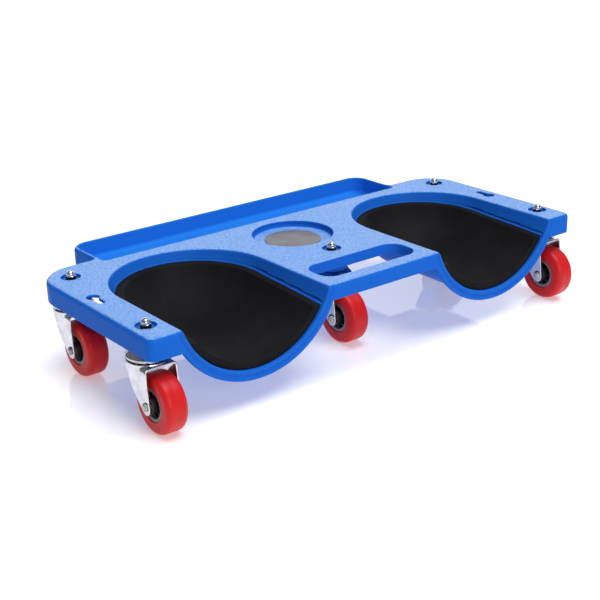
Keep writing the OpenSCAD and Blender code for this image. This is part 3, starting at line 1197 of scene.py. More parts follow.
@dataclass(frozen=True)
class SatinDisc(Finish):
    """The plain grey disc in the dish.

    Attributes:
        colour: Colour of the disc.
        pale: Colour of its paler flecks.
    """

    colour: Colour = (0.165, 0.158, 0.178, 1.0)
    pale: Colour = (0.24, 0.23, 0.25, 1.0)

    def material(self) -> bpy.types.Material:
        """Builds the material.

        Returns:
            The material.
        """
        graph = Graph(self.name)
        fleck = graph.noise(0.7, 4.0)
        flecks = graph.spread(fleck, (0.4, 0.75), (0.0, 0.5))
        graph.give("Base Color", graph.mixed(flecks, self.colour, self.pale))
        graph.give("Roughness", graph.spread(graph.noise(14.0, 3.0), (0.3, 0.7), (0.34, 0.46)))
        graph.give("Metallic", 0.15)
        graph.raise_by(fleck, 0.03, 0.4)
        return graph.material


@dataclass(frozen=True)
class Dressing:
    """A finish with its material built."""

    finish: Finish
    material: bpy.types.Material

    @staticmethod
    def of(finish: Finish) -> "Dressing":
        """Builds the finish's material.

        Args:
            finish: The finish.

        Returns:
            The finish with its material.
        """
        return Dressing(finish, finish.material())


def dressed(
    name: str, mesh: bpy.types.Mesh, material: bpy.types.Material, finish: Finish, body: str, *nodes: str
) -> bpy.types.Object:
    """Makes a finished piece of a mesh, puts it on its body and lets it stand for its CAD nodes.

    Args:
        name: The piece's name.
        mesh: Its mesh, in place.
        material: The material, already built.
        finish: The finish that the material came from. Not used.
        body: The body that it rides on.
        nodes: The CAD nodes that it stands for.

    Returns:
        The piece.
    """
    mesh.name = name
    mesh.materials.clear()
    mesh.materials.append(material)
    piece = bpy.data.objects.new(name, mesh)
    bpy.context.scene.collection.objects.link(piece)
    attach(piece, body)
    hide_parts(*nodes)
    triangles = sum(len(face.vertices) - 2 for face in mesh.polygons)
    log.info("%s: %d triangles, rides on %s", name, triangles, body)
    return piece


def finish_node(node: str, material: bpy.types.Material) -> None:
    """Gives a CAD node that stays its material.

    Args:
        node: The node's name.
        material: The material.
    """
    piece = frame["nodes"][node]
    if not piece.material_slots:
        piece.data.materials.append(material)
    for slot in piece.material_slots:
        slot.material = material
    log.info("%s: CAD node, %s", node, material.name)


@dataclass
class Well:
    """A knee well: a round-ended trough whose axis lies above the deck's top face.

    Attributes:
        out: From the middle of the creeper out to the well's axis.
        land: Width of the flat top between the well and the side of the deck.
        radius: Inside radius of the cradle.
        rise: Height of the axis above the top face.
        round_from: From the centre bolt back to where the round end begins.
        edge_front: Depth of the foam's edge at the front of the deck.
        edge_rear: Depth of the foam's edge at the round end.
        deck_front: From the centre bolt forward to the front of the deck.
    """

    out: float = 170.0
    land: float = 38.5
    radius: float = 95.0
    rise: float = 29.0
    round_from: float = 26.0
    edge_front: float = 19.0
    edge_rear: float = 11.0
    deck_front: float = 95.0

    def mouth(self) -> float:
        """How wide the well is at the top face.

        Returns:
            Half its width.
        """
        return math.sqrt(self.radius**2 - self.rise**2)

    def from_axis(self, x: np.ndarray, y: np.ndarray, z: np.ndarray) -> Distances:
        """Distance from the well's axis, or from its end point past the end.

        Args:
            x: Places across the deck.
            y: Places along the deck.
            z: Heights above the top face.

        Returns:
            The distances.
        """
        past = np.maximum(y - self.round_from, 0)
        return np.sqrt((np.abs(x) - self.out) ** 2 + past**2 + (z - self.rise) ** 2)

    def above_edge(self, y: np.ndarray, z: np.ndarray) -> Distances:
        """Height above the gently sloping plane in which the foam's edge lies.

        Args:
            y: Places along the deck.
            z: Heights above the top face.

        Returns:
            The heights.
        """
        run = self.round_from + self.mouth() + self.deck_front
        fall = (self.edge_front - self.edge_rear) / run
        return (z + self.edge_front - (y + self.deck_front) * fall) / math.hypot(1, fall)


@dataclass
class Deck:
    """The blue moulding: plate, skirts, cradles, lips, tray, dish, slot, bosses and ribs.

    Sizes are in millimetres, in the deck's own frame. A name that ends in edge or blend is the radius of a
    rounded edge or of a fillet. Listed are the sizes that need a word.

    Attributes:
        casters: Where the swivel bolts stand.
        front: From the centre bolt forward to the front of the deck.
        bar: Depth of the front wall between the wells.
        notch: Fillet between the wings and the tray, seen from above.
        lip: How far the front lip stands out round a well.
        rim_edges: Radius of a well's upper edge at the front, and further back.
        rim_plain: From the front back to where that radius begins to grow.
        rim_run: Over how far it grows.
        slot_ends: Front and rear of the handle slot.
        keyhole_travel: Length of a keyhole's narrow track.
        boss_core: Radius of the solid core in a boss.
        groove: Radius of the groove above the foam.
        groove_inset: How deep its middle lies in the wall.
        groove_run: Over how far it fades out round the rear of the well.
        groove_stop: How far it runs into the front lip.
        lip_groove: Radius of the groove round the front lip.
        lip_groove_out: How far its middle lies in front of the lip.
        mesh_step: Size of a cell of the mesh.
    """

    well: Well
    casters: list[tuple[float, float]]
    half_width: float
    front: float
    tray_rear: float
    wing_rear: float = 150.0
    plate: float = 4.0
    wall: float = 3.5
    skirt: float = 24.0
    bar: float = 17.5
    front_corner: float = 9.0
    rear_corner: float = 45.0
    notch: float = 7.0
    edge: float = 5.0
    cradle_wall: float = 4.0
    lip: float = 11.5
    lip_thickness: float = 5.0
    lip_edge: float = 2.2
    rim_edges: tuple[float, float] = (2.0, 2.4)
    hole_edge: float = 1.5
    tray_half: float = 221.0
    tray_front: float = 137.0
    tray_depth: float = 22.0
    tray_floor: float = 3.5
    tray_wall: float = 4.5
    tray_corner: float = 21.0
    dish_back: float = 72.5
    dish_radius: float = 47.66
    dish_edge: float = 1.1
    dish_depth: float = 8.0
    slot_half: float = 65.65
    slot_ends: tuple[float, float] = (-75.0, -31.0)
    slot_corner: float = 16.94
    slot_depth: float = 13.0
    keyhole_out: float = 282.0
    keyhole_back: float = 35.0
    keyhole_wide: float = 6.5
    keyhole_narrow: float = 3.25
    keyhole_travel: float = 18.0
    boss: float = 17.0
    boss_core: float = 6.7
    recess: float = 10.6
    recess_depth: float = 3.5
    bolt_hole: float = 3.2
    rib_depth: float = 12.0
    groove: float = 1.3
    groove_inset: float = 0.1
    groove_run: float = 25.0
    groove_edge: float = 0.5
    groove_stop: float = 1.0
    rim_plain: float = 3.0
    rim_run: float = 9.0
    under_edge: float = 2.0
    foot_edge: float = 1.2
    foot_inner_edge: float = 0.5
    lip_back_edge: float = 1.5
    lip_groove: float = 2.1
    lip_groove_out: float = 0.8
    lip_groove_edge: float = 1.2
    tray_edge: float = 2.1
    tray_floor_edge: float = 5.0
    slot_blend: float = 1.5
    dish_floor_edge: float = 4.0
    cup_edge: float = 1.5
    keyhole_edge: float = 1.3
    recess_edge: float = 0.9
    recess_floor_edge: float = 1.0
    rib_edge: float = 1.0
    mesh_step: float = 1.2
    finish: MouldedPlastic = field(default_factory=lambda: MouldedPlastic("blue_polypropylene", "deck_blue"))

    def body(self, x: np.ndarray, y: np.ndarray, z: np.ndarray) -> Distances:
        """The moulding before anything is cut into its top face.

        Args:
            x: Places across the deck.
            y: Places along the deck.
            z: Heights above the top face.

        Returns:
            Distances to the surface.
        """
        wings = block_plan(
            x, y, self.half_width, (-self.front, self.wing_rear), (self.front_corner, self.rear_corner)
        )
        tray = block_plan(
            x,
            y,
            self.tray_half,
            (self.tray_front - self.tray_wall, self.tray_rear),
            (self.wall, self.tray_corner),
        )
        outline = round_union(wings, tray, self.notch)
        tongue = self.well.out - self.well.mouth()
        at_bar = (np.abs(x) < tongue + self.lip) & (y < self.wall - self.front)
        depth = np.where(at_bar, self.bar, self.skirt)
        hollow = round_meet(wings + self.wall, z + self.plate, self.under_edge)
        shape = round_cut(round_meet(outline, -z - depth, self.foot_edge), hollow, self.foot_inner_edge)
        tray_under = -z - self.tray_depth - self.tray_floor
        shape = np.minimum(shape, round_meet(tray, tray_under, self.under_edge))
        radial = np.hypot(np.abs(x) - self.well.out, z - self.well.rise)
        lip = round_meet(radial - self.well.radius - self.lip, -y - self.front, self.lip_edge)
        lip = round_meet(lip, y + self.front - self.lip_thickness, self.lip_back_edge)
        shape = np.minimum(shape, lip)
        cradle = self.well.from_axis(x, y, z) - self.well.radius - self.cradle_wall
        cradle = np.maximum(cradle, -y - self.front + self.lip_thickness / 2)
        shape = round_union(shape, cradle, self.under_edge)
        slot = round_meet(self.slot(x, y) - self.wall, -z - self.slot_depth, self.foot_edge)
        shape = round_union(shape, slot, self.slot_blend)
        cup = np.hypot(x, y - self.dish_back) - self.dish_radius - self.wall
        shape = np.minimum(shape, round_meet(cup, -z - self.dish_depth - self.wall, self.cup_edge))
        return np.minimum(shape, self.underside(x, y, z))

    def slot(self, x: np.ndarray, y: np.ndarray) -> Distances:
        """The handle slot seen from above.

        Args:
            x: Places across the deck.
            y: Places along the deck.

        Returns:
            Distances to its outline.
        """
        return block_plan(x, y, self.slot_half, self.slot_ends, (self.slot_corner, self.slot_corner))

    def underside(self, x: np.ndarray, y: np.ndarray, z: np.ndarray) -> Distances:
        """The bosses and ribs under the plate.

        Args:
            x: Places across the deck.
            y: Places along the deck.
            z: Heights above the top face.

        Returns:
            Distances to their surface.
        """
        half = self.wall / 2
        side = self.half_width - self.wall / 2
        tongue = self.well.out - self.well.mouth()
        shape = np.full(np.broadcast(x, y, z).shape, np.inf)
        for spot_x, spot_y in self.casters:
            away = np.hypot(x - spot_x, y - spot_y)
            boss = round_meet(away - self.boss, -z - self.skirt, self.rib_edge)
            pocket = np.maximum(away - self.boss + self.wall, self.boss_core - away)
            for cross in (x - spot_x + y - spot_y, x - spot_x - y + spot_y):
                pocket = np.maximum(pocket, half - np.abs(cross) / math.sqrt(2))
            pocket = np.maximum(pocket, z + self.recess_depth + self.plate)
            shape = np.minimum(shape, np.maximum(boss, -pocket))
        ribs = []
        for spot_x, spot_y in self.casters:
            if spot_x > 0:
                ribs.append((np.abs(y - spot_y), self.well.out, side, np.abs(x)))
        ribs.append((np.abs(np.abs(x) - self.keyhole_out), -self.front / 2, self.keyhole_back / 2, y))
        ribs.append((np.abs(y), 0.0, self.well.out, np.abs(x)))
        ribs.append((np.abs(x), 0.0, self.tray_front, y))
        ribs.append((np.abs(np.abs(x) - tongue), self.well.round_from, self.tray_front, y))
        for across, low, high, along in ribs:
            rib = np.maximum(across - half, np.abs(along - (low + high) / 2) - (high - low) / 2)
            shape = np.minimum(shape, round_meet(rib, -z - self.rib_depth, self.rib_edge))
        return shape

    def keyhole(self, x: np.ndarray, y: np.ndarray) -> Distances:
        """The two keyholes seen from above, which face opposite ways.

        Args:
            x: Places across the deck.
            y: Places along the deck.

        Returns:
            Distances to their outlines.
        """
        across = np.abs(x) - self.keyhole_out
        along = (y - self.keyhole_back) * np.sign(x) + self.keyhole_travel / 2
        wide = np.hypot(across, along) - self.keyhole_wide
        track = np.clip(along, 0, self.keyhole_travel)
        return np.minimum(wide, np.hypot(across, along - track) - self.keyhole_narrow)

    def rule(self, x: np.ndarray, y: np.ndarray, z: np.ndarray) -> Distances:
        """The whole moulding.

        Args:
            x: Places across the deck.
            y: Places along the deck.
            z: Heights above the top face.

        Returns:
            Distances to the surface.
        """
        shape = round_meet(self.body(x, y, z), z, self.edge)
        well = self.well.from_axis(x, y, z) - self.well.radius
        soft = np.clip((y + self.front - self.rim_plain) / self.rim_run, 0, 1)
        low, high = self.rim_edges
        shape = round_cut(shape, well, low + (high - low) * soft * soft * (3 - 2 * soft))
        above = self.well.above_edge(y, z)
        behind = -y - self.front + self.lip_thickness - self.groove_stop
        fade = np.clip((y - self.well.round_from) / self.groove_run, 0, 1)
        groove_out = well - self.groove_inset + fade * self.groove
        groove = np.hypot(groove_out, above - self.groove) - self.groove
        shape = round_cut(shape, np.maximum(groove, behind), self.groove_edge)
        tray = block_plan(
            x,
            y,
            self.tray_half - self.tray_wall,
            (self.tray_front, self.tray_rear - self.tray_wall),
            (self.wall, self.tray_corner - self.tray_wall),
        )
        tray = round_meet(tray, -z - self.tray_depth, self.tray_floor_edge)
        shape = round_cut(shape, tray, self.tray_edge)
        dish = np.hypot(x, y - self.dish_back) - self.dish_radius
        dish = round_meet(dish, -z - self.dish_depth, self.dish_floor_edge)
        shape = round_cut(shape, dish, self.dish_edge)
        shape = round_cut(shape, self.slot(x, y), self.hole_edge)
        shape = round_cut(shape, self.keyhole(x, y), self.keyhole_edge)
        for spot_x, spot_y in self.casters:
            away = np.hypot(x - spot_x, y - spot_y)
            recess = round_meet(away - self.recess, -z - self.recess_depth, self.recess_floor_edge)
            shape = round_cut(shape, recess, self.recess_edge)
            shape = np.maximum(shape, self.bolt_hole - away)
        radial = np.hypot(np.abs(x) - self.well.out, z - self.well.rise)
        lip_middle = radial - self.well.radius - self.lip / 2
        lip_groove = np.hypot(lip_middle, y + self.front + self.lip_groove_out) - self.lip_groove
        return round_cut(shape, lip_groove, self.lip_groove_edge)

    def build(self, origin: Vector) -> None:
        """Casts the moulding and dresses it.

        Args:
            origin: The origin of the deck's own frame, in metres.
        """
        deepest = self.well.rise - self.well.radius - self.lip
        low = (-self.half_width, -self.front, deepest)
        high = (self.half_width, self.tray_rear, 0.0)
        mesh = Mould(low, high, self.mesh_step).cast("deck_moulding", self.rule, origin)
        dressed("deck_moulding", mesh, self.finish.material(), self.finish, "deck_body", "deck")


@dataclass
class KneePad:
    """A foam liner that follows its cradle. Sizes are in millimetres, in the deck's own frame.

    Attributes:
        side: Which of the two it is.
        well: The well that it lines.
        thickness: Thickness of the foam.
        gap: Between the foam and its cradle.
        setback: From the front of the deck back to the front of the foam.
        edge: Radius of its rounded edges.
        mesh_step: Size of a cell of the mesh.
    """

    side: Side
    well: Well
    thickness: float = 8.0
    gap: float = 0.3
    setback: float = 4.0
    edge: float = 0.9
    mesh_step: float = 1.4

    def rule(self, x: np.ndarray, y: np.ndarray, z: np.ndarray) -> Distances:
        """The foam.

        Args:
            x: Places across the deck.
            y: Places along the deck.
            z: Heights above the deck's top face.

        Returns:
            Distances to the surface.
        """
        outer = self.well.from_axis(x, y, z) - self.well.radius + self.gap
        foam = np.maximum(outer, -outer - self.thickness)
        foam = round_meet(foam, self.well.above_edge(y, z), self.edge)
        foam = round_meet(foam, -y - self.well.deck_front + self.setback, self.edge)
        return np.maximum(foam, -x * self.side.value)

    def build(self, origin: Vector, finish: Foam, material: bpy.types.Material) -> None:
        """Casts the foam and dresses it.

        Args:
            origin: The origin of the deck's own frame, in metres.
            finish: The foam's finish.
            material: Its material.
        """
        node = f"knee_pad_{self.side.name.lower()}"
        low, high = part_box(node)
        corners = [tuple((corner - origin) / MM) for corner in (low, high)]
        mould = Mould(*corners, step=self.mesh_step, most=120_000)
        mesh = mould.cast(f"{node}_foam", self.rule, origin)
        piece = dressed(f"{node}_foam", mesh, material, finish, "deck_body", node)


@dataclass
class Badge:
    """The plain disc in the floor of the dish, in millimetres.

    Attributes:
        edge: Radius of its upper edge.
    """

    edge: float = 0.3

    def build(self, finish: SatinDisc) -> None:
        """Turns the disc and dresses it.

        Args:
            finish: The disc's finish.
        """
        low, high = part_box("badge_disc")
        middle = Vector(((low.x + high.x) / 2, (low.y + high.y) / 2, low.z))
        radius = (high.x - low.x) / 2 / MM
        top = (high.z - low.z) / MM
        pin = 0.05
        outline = eased(
            [(pin, 0.0, 0.0), (radius, 0.0, 0.0), (radius, top, self.edge), (pin, top, 0.0)]
        )
        mesh = turned("badge_plain_disc", outline, Axis.UPRIGHT, middle, around=144)
        dressed("badge_plain_disc", flat_edged(mesh), finish.material(), finish, "deck_body", "badge_disc")


@dataclass
class CapNuts:
    """The five domed nuts in their recesses, in millimetres, with heights above their seat.

    Attributes:
        flats: Distance across the flats.
        flange: Radius of the flange.
        flange_height: Height of its top.
        hexagon_top: Height of the hexagon's top.
        dome: Radius of the dome.
        dome_height: Height of its centre.
        flange_edge: Radius of the flange's edge.
        flats_edge: Radius of the edge between the flats and the hexagon's top.
        cone_edge: Radius of the edge between the flats and the cone that cuts their corners.
        blend: Fillets from flange to hexagon to dome.
    """

    flats: float = 10.0
    flange: float = 7.1
    flange_height: float = 1.2
    hexagon_top: float = 5.0
    dome: float = 4.75
    dome_height: float = 6.0
    flange_edge: float = 0.5
    flats_edge: float = 0.25
    cone_edge: float = 0.3
    blend: float = 0.4

    def rule(self, x: np.ndarray, y: np.ndarray, z: np.ndarray) -> Distances:
        """One nut, standing on its seat.

        Args:
            x: Places across the nut.
            y: Places along the nut.
            z: Heights above the seat.

        Returns:
            Distances to the surface.
        """
        away = np.hypot(x, y)
        flange = round_meet(away - self.flange, z - self.flange_height, self.flange_edge)
        cone = (away + z - self.flats / 2 - self.hexagon_top) / math.sqrt(2)
        hexagon = round_meet(hexagon_plan(x, y, self.flats), z - self.hexagon_top, self.flats_edge)
        hexagon = round_meet(hexagon, cone, self.cone_edge)
        ball = np.sqrt(x**2 + y**2 + np.maximum(z - self.dome_height, 0) ** 2) - self.dome
        nut = round_union(round_union(flange, hexagon, self.blend), ball, self.blend)
        return np.maximum(nut, -z)

    def build(self, seat: float, finish: PlatedMetal, material: bpy.types.Material) -> None:
        """Casts one nut, copies it to its five places and dresses them.

        Args:
            seat: Height of the nuts' seats, in metres.
            finish: The nuts' finish.
            material: Their material.
        """
        reach = self.flange
        top = self.dome_height + self.dome
        mould = Mould((-reach, -reach, 0.0), (reach, reach, top), step=0.35, most=9_000)
        template = mould.cast("cap_nut", self.rule, Vector())
        spots = [caster_spot(place) + Vector((0.0, 0.0, seat)) for place in Place]
        mesh = CopiesAtSpots("cap_nuts_at_bolts").mesh(template, material, spots)
        dressed("domed_cap_nuts", mesh, material, finish, "deck_body", "cap_nuts")


@dataclass
class Caster:
    """A swivel caster in its own frame, in millimetres, with its wheel trailing towards -y.

    Wheel, race, race_neck, hub, barrel, axle, ball, tyre_inside and the holes are radii. A name that ends in
    edge or blend is the radius of a rounded edge or of a fillet. Listed are the other sizes that need a word.

    Attributes:
        trail: From the swivel bolt back to the axle.
        inside: Half the distance between the legs.
        leg_end: Radius of a leg's round end.
        leg_drop: How far below the axle the middle of that end lies.
        leg_bend: Where a leg's front edge bends: forward of the axle, and above it.
        crown: Rear and front of the legs at the crown.
        crown_under: Height of the crown's underside.
        crown_rim: Height of the rim round the crown.
        bend: Outside radius of the bend from crown to leg.
        race_under: Height of the upper race's underside.
        race_gap: Height of the shadow gap under its flange.
        race_inset: Depth of that gap.
        race_shoulder: How far below the flange's top the slope to the deck begins.
        race_play: Play between its groove and the balls.
        mount: Height at which it meets the deck.
        ball_ring: Radius of the ring of balls.
        play: Play of the balls in the crown, and of the nut on its thread.
        thread_end: How far the thread stands out of the nut.
        collar_inset: How far the nut's collar lies inside its flats.
        hub_rim: Width of the hub's rim.
        rim_flare: How much the rim narrows towards its faces.
        web: Thickness of the hub's web.
        spoke_overlap: How far a spoke reaches into barrel and rim, both ends together.
        spoke_inset: How far it stays behind the hub's face.
        seam: Half the width of the tyre's mould seam.
    """

    trail: float = 20.5
    wheel: float = 31.75
    sheet: float = 2.4
    inside: float = 16.4
    leg_end: float = 6.8
    leg_drop: float = 2.4
    leg_bend: tuple[float, float] = (24.0, 13.0)
    crown: tuple[float, float] = (-23.5, 15.0)
    crown_under: float = 69.5
    crown_rim: float = 1.8
    bend: float = 5.0
    race: float = 22.5
    race_under: float = 74.7
    race_flange: float = 4.5
    race_neck: float = 18.5
    mount: float = 83.0
    bolt_hole: float = 3.2
    shaft_hole: float = 3.05
    ball_ring: float = 17.2
    ball: float = 2.4
    ball_height: float = 73.3
    balls: int = 16
    axle: float = 3.0
    hex_flats: float = 9.0
    head: float = 2.8
    nut: float = 2.2
    nut_body: float = 1.5
    thread_end: float = 0.6
    tyre_width: float = 25.0
    tyre_shoulder: float = 6.0
    tyre_inside: float = 18.05
    hub: float = 18.0
    hub_rim: float = 4.2
    hub_width: float = 23.0
    web: float = 9.0
    barrel: float = 9.0
    barrel_half: float = 15.8
    sleeve_hole: float = 6.05
    spokes: int = 8
    spoke_thickness: float = 1.5
    spoke_inset: float = 2.0
    spoke_overlap: float = 1.2
    spoke_edge: float = 0.5
    bore_edge: float = 0.3
    barrel_edge: float = 0.6
    web_edge: float = 1.0
    rim_edge: float = 0.7
    rim_flare: float = 0.4
    tyre_bore_edge: float = 0.4
    leg_edge: float = 0.8
    crown_edge: float = 0.7
    crown_blend: float = 1.2
    crown_rim_edge: float = 0.4
    play: float = 0.05
    race_play: float = 0.3
    race_gap: float = 1.3
    race_inset: float = 1.8
    race_shoulder: float = 1.0
    race_foot_edge: float = 0.2
    race_gap_edge: float = 0.5
    race_flange_edge: float = 0.4
    race_top_edge: float = 1.4
    thread_edge: float = 0.4
    flats_edge: float = 0.25
    cone_edge: float = 0.3
    collar_inset: float = 0.6
    collar_edge: float = 0.5
    seam: float = 0.4

    def leg_plan(self, y: np.ndarray, z: np.ndarray) -> Distances:
        """A leg seen from the side: wide at the crown, bent at its front edge, round at its end.

        Args:
            y: Places along the wheel.
            z: Heights above the floor.

        Returns:
            Distances to the outline.
        """
        along, up = y + self.trail, z - self.wheel + self.leg_drop
        forward, rise = self.leg_bend[0], self.leg_bend[1] + self.leg_drop
        crown = self.crown_under - self.wheel + self.leg_drop
        edges = []
        above = np.zeros(np.broadcast(y, z).shape, bool)
        for turn, reach in ((-1, (self.crown[0] + self.trail, crown)), (1, (forward, rise))):
            swing = math.atan2(reach[1], reach[0]) - turn * math.acos(self.leg_end / math.hypot(*reach))
            normal = (math.cos(swing), math.sin(swing))
            edges.append(along * normal[0] + up * normal[1] - self.leg_end)
            above |= (-turn * along * normal[1] + turn * up * normal[0]) > 0
        run = (self.crown[1] + self.trail - forward, crown - rise)
        edges.append(((along - forward) * run[1] - (up - rise) * run[0]) / math.hypot(*run))
        edges.append(y - self.crown[1])
        return np.where(above, np.maximum.reduce(edges), np.hypot(along, up) - self.leg_end)

    def fork_rule(self, x: np.ndarray, y: np.ndarray, z: np.ndarray) -> Distances:
        """The fork: a bent sheet with tapering legs and a raised rim round its crown.

        Args:
            x: Places across the wheel.
            y: Places along the wheel.
            z: Heights above the floor.

        Returns:
            Distances to the surface.
        """
        top = self.crown_under + self.sheet
        outside = self.inside + self.sheet
        channel = round_meet(np.abs(x) - outside, z - top, self.bend)
        inner = round_meet(np.abs(x) - self.inside, z - self.crown_under, self.bend - self.sheet)
        leg = self.leg_plan(y, z)
        shape = round_meet(np.maximum(channel, -inner), leg, self.leg_edge)
        away = np.hypot(x, y)
        level = np.maximum(z - top - self.crown_rim, self.crown_under - z)
        disc = round_meet(away - self.race, level, self.crown_edge)
        shape = round_union(shape, disc, self.crown_blend)
        dished = round_meet(away - self.race + self.sheet / 2, top - z, self.leg_edge)
        shape = round_cut(shape, np.maximum(dished, z - top - self.bend), self.crown_rim_edge)
        shape = np.maximum(shape, self.shaft_hole - away)
        groove = np.hypot(away - self.ball_ring, z - self.ball_height) - self.ball - self.play
        shape = np.maximum(shape, -groove)
        return np.maximum(shape, self.shaft_hole - np.hypot(y + self.trail, z - self.wheel))

    def fork_mesh(self) -> bpy.types.Mesh:
        """Casts the fork.

        Returns:
            The mesh.
        """
        outside = self.race
        low = (-outside, -self.trail - self.leg_end, self.wheel - self.leg_drop - self.leg_end)
        high = (outside, self.race, self.crown_under + self.sheet + self.crown_rim)
        return Mould(low, high, step=0.6, most=30_000).cast("fork", self.fork_rule, Vector())

    def race_mesh(self) -> bpy.types.Mesh:
        """Turns the upper race, with its ball groove underneath and a shadow gap under its flange.

        Returns:
            The mesh.
        """
        rise = self.race_under - self.ball_height
        seat = self.ball + self.race_play
        reach = math.sqrt(seat**2 - rise**2)
        start = math.atan2(rise, -reach)
        end = math.atan2(rise, reach)
        groove = [
            (self.ball_ring + seat * math.cos(turn), self.ball_height + seat * math.sin(turn))
            for turn in np.linspace(start, end, 9)
        ]
        top = self.race_under + self.race_flange
        lip = self.race_under + self.race_gap
        inset = self.race - self.race_inset
        shoulder = eased(
            [
                (inset, self.race_under, self.race_foot_edge),
                (inset, lip, self.race_gap_edge),
                (self.race, lip, self.race_flange_edge),
                (self.race, top - self.race_shoulder, self.race_top_edge),
                (self.race_neck, self.mount, 0.0),
                (self.bolt_hole, self.mount, 0.0),
                (self.bolt_hole, self.race_under, 0.0),
            ]
        )
        outline = np.concatenate([np.array(groove), shoulder])
        return flat_edged(turned("race", outline, Axis.UPRIGHT, Vector()), degrees=50)

    def balls_mesh(self, material: bpy.types.Material) -> bpy.types.Mesh:
        """Rings the bearing balls round the swivel bolt.

        Args:
            material: The balls' material.

        Returns:
            The mesh.
        """
        steps = 10
        arc = np.linspace(-math.pi / 2, math.pi / 2, steps + 1)
        pin = 0.01
        outline = np.stack([np.maximum(self.ball * np.cos(arc), pin), self.ball * np.sin(arc)], axis=1)
        template = turned("ball", outline, Axis.UPRIGHT, Vector(), around=20)
        mesh = RingOfCopies("bearing_balls", self.balls, self.ball_ring).mesh(template, material)
        mesh.transform(Matrix.Translation((0.0, 0.0, self.ball_height * MM)))
        return mesh

    def bolt_rule(self, x: np.ndarray, y: np.ndarray, z: np.ndarray) -> Distances:
        """The axle bolt along x, with its head on the +x side.

        Args:
            x: Places along the axle.
            y: Places across the axle.
            z: Heights above the axle.

        Returns:
            Distances to the surface.
        """
        outside = self.inside + self.sheet
        away = np.hypot(y, z)
        end = outside + self.nut + self.thread_end
        shank = round_meet(away - self.axle, -x - end, self.thread_edge)
        shank = np.maximum(shank, x - outside - 1)
        head = round_meet(hexagon_plan(y, z, self.hex_flats), x - outside - self.head, self.flats_edge)
        cone = (away + x - outside - self.head - self.hex_flats / 2) / math.sqrt(2)
        head = np.maximum(round_meet(head, cone, self.cone_edge), outside - x)
        return np.minimum(shank, head)

    def nut_rule(self, x: np.ndarray, y: np.ndarray, z: np.ndarray) -> Distances:
        """The lock nut on the -x side, with its round collar.

        Args:
            x: Places along the axle.
            y: Places across the axle.
            z: Heights above the axle.

        Returns:
            Distances to the surface.
        """
        outside = self.inside + self.sheet
        away = np.hypot(y, z)
        out = -x - outside
        cone = (away + out - self.nut_body - self.hex_flats / 2) / math.sqrt(2)
        body = round_meet(hexagon_plan(y, z, self.hex_flats), out - self.nut_body, self.flats_edge)
        body = round_meet(body, cone, self.cone_edge)
        around = away - self.hex_flats / 2 + self.collar_inset
        collar = round_meet(around, out - self.nut, self.collar_edge)
        nut = np.maximum(round_union(body, collar, self.cone_edge), -out)
        return np.maximum(nut, self.axle + self.play - away)

    def tyre_mesh(self) -> bpy.types.Mesh:
        """Turns the tyre, with a fine seam round the middle of its tread.

        Returns:
            The mesh.
        """
        half = self.tyre_width / 2
        seam = self.seam
        outline = eased(
            [
                (self.tyre_inside, -half, self.tyre_bore_edge),
                (self.wheel, -half, self.tyre_shoulder),
                (self.wheel, -seam, 0.0),
                (self.wheel - seam / 8, 0.0, 0.0),
                (self.wheel, seam, 0.0),
                (self.wheel, half, self.tyre_shoulder),
                (self.tyre_inside, half, self.tyre_bore_edge),
            ],
            steps=12,
        )
        return turned("tyre", outline, Axis.AXLE, Vector(), around=160)

    def hub_mesh(self, material: bpy.types.Material) -> bpy.types.Mesh:
        """Turns the hub and adds its spokes.

        Args:
            material: The hub's material.

        Returns:
            The mesh.
        """
        rim, half, web = self.hub - self.hub_rim, self.hub_width / 2, self.web / 2
        outline = eased(
            [
                (self.sleeve_hole, -self.barrel_half, self.bore_edge),
                (self.barrel, -self.barrel_half, self.barrel_edge),
                (self.barrel, -web, self.web_edge),
                (rim, -web, self.web_edge),
                (rim + self.rim_flare, -half, self.rim_edge),
                (self.hub, -half, self.rim_edge),
                (self.hub, half, self.rim_edge),
                (rim + self.rim_flare, half, self.rim_edge),
                (rim, web, self.web_edge),
                (self.barrel, web, self.web_edge),
                (self.barrel, self.barrel_half, self.barrel_edge),
                (self.sleeve_hole, self.barrel_half, self.bore_edge),
            ]
        )
        body = turned("hub", outline, Axis.AXLE, Vector(), around=128)
        thick = self.spoke_thickness
        length = rim - self.barrel + self.spoke_overlap
        deep = half - self.spoke_inset

        def spoke(x: np.ndarray, y: np.ndarray, z: np.ndarray) -> Distances:
            """One spoke, a rounded fin on both sides of the web.

            Args:
                x: Places along the spoke.
                y: Places across it.
                z: Places along the axle.

            Returns:
                Distances to the surface.
            """
            fin = np.maximum(np.abs(x) - length / 2, np.abs(y) - thick / 2)
            return round_meet(fin, np.abs(z) - deep, self.spoke_edge)

        low = (-length / 2, -thick / 2, -deep)
        high = (length / 2, thick / 2, deep)
        template = Mould(low, high, step=0.5, most=900).cast("spoke", spoke, Vector())
        middle = (self.barrel + rim) / 2
        fins = RingOfCopies("hub_spokes", self.spokes, middle).mesh(template, material)
        fins.transform(Matrix.Rotation(math.radians(90), 4, "Y"))
        mesh = joined("hub", [body, fins])
        # Marks the points on the rim's flat ring, which the nylon paints pale grey as a painted reflection.
        share = mesh.attributes.new("rim", "FLOAT", "POINT")
        for vertex, value in zip(mesh.vertices, share.data):
            value.value = float(math.hypot(vertex.co.y, vertex.co.z) > (rim + self.rim_flare / 2) * MM)
        return mesh

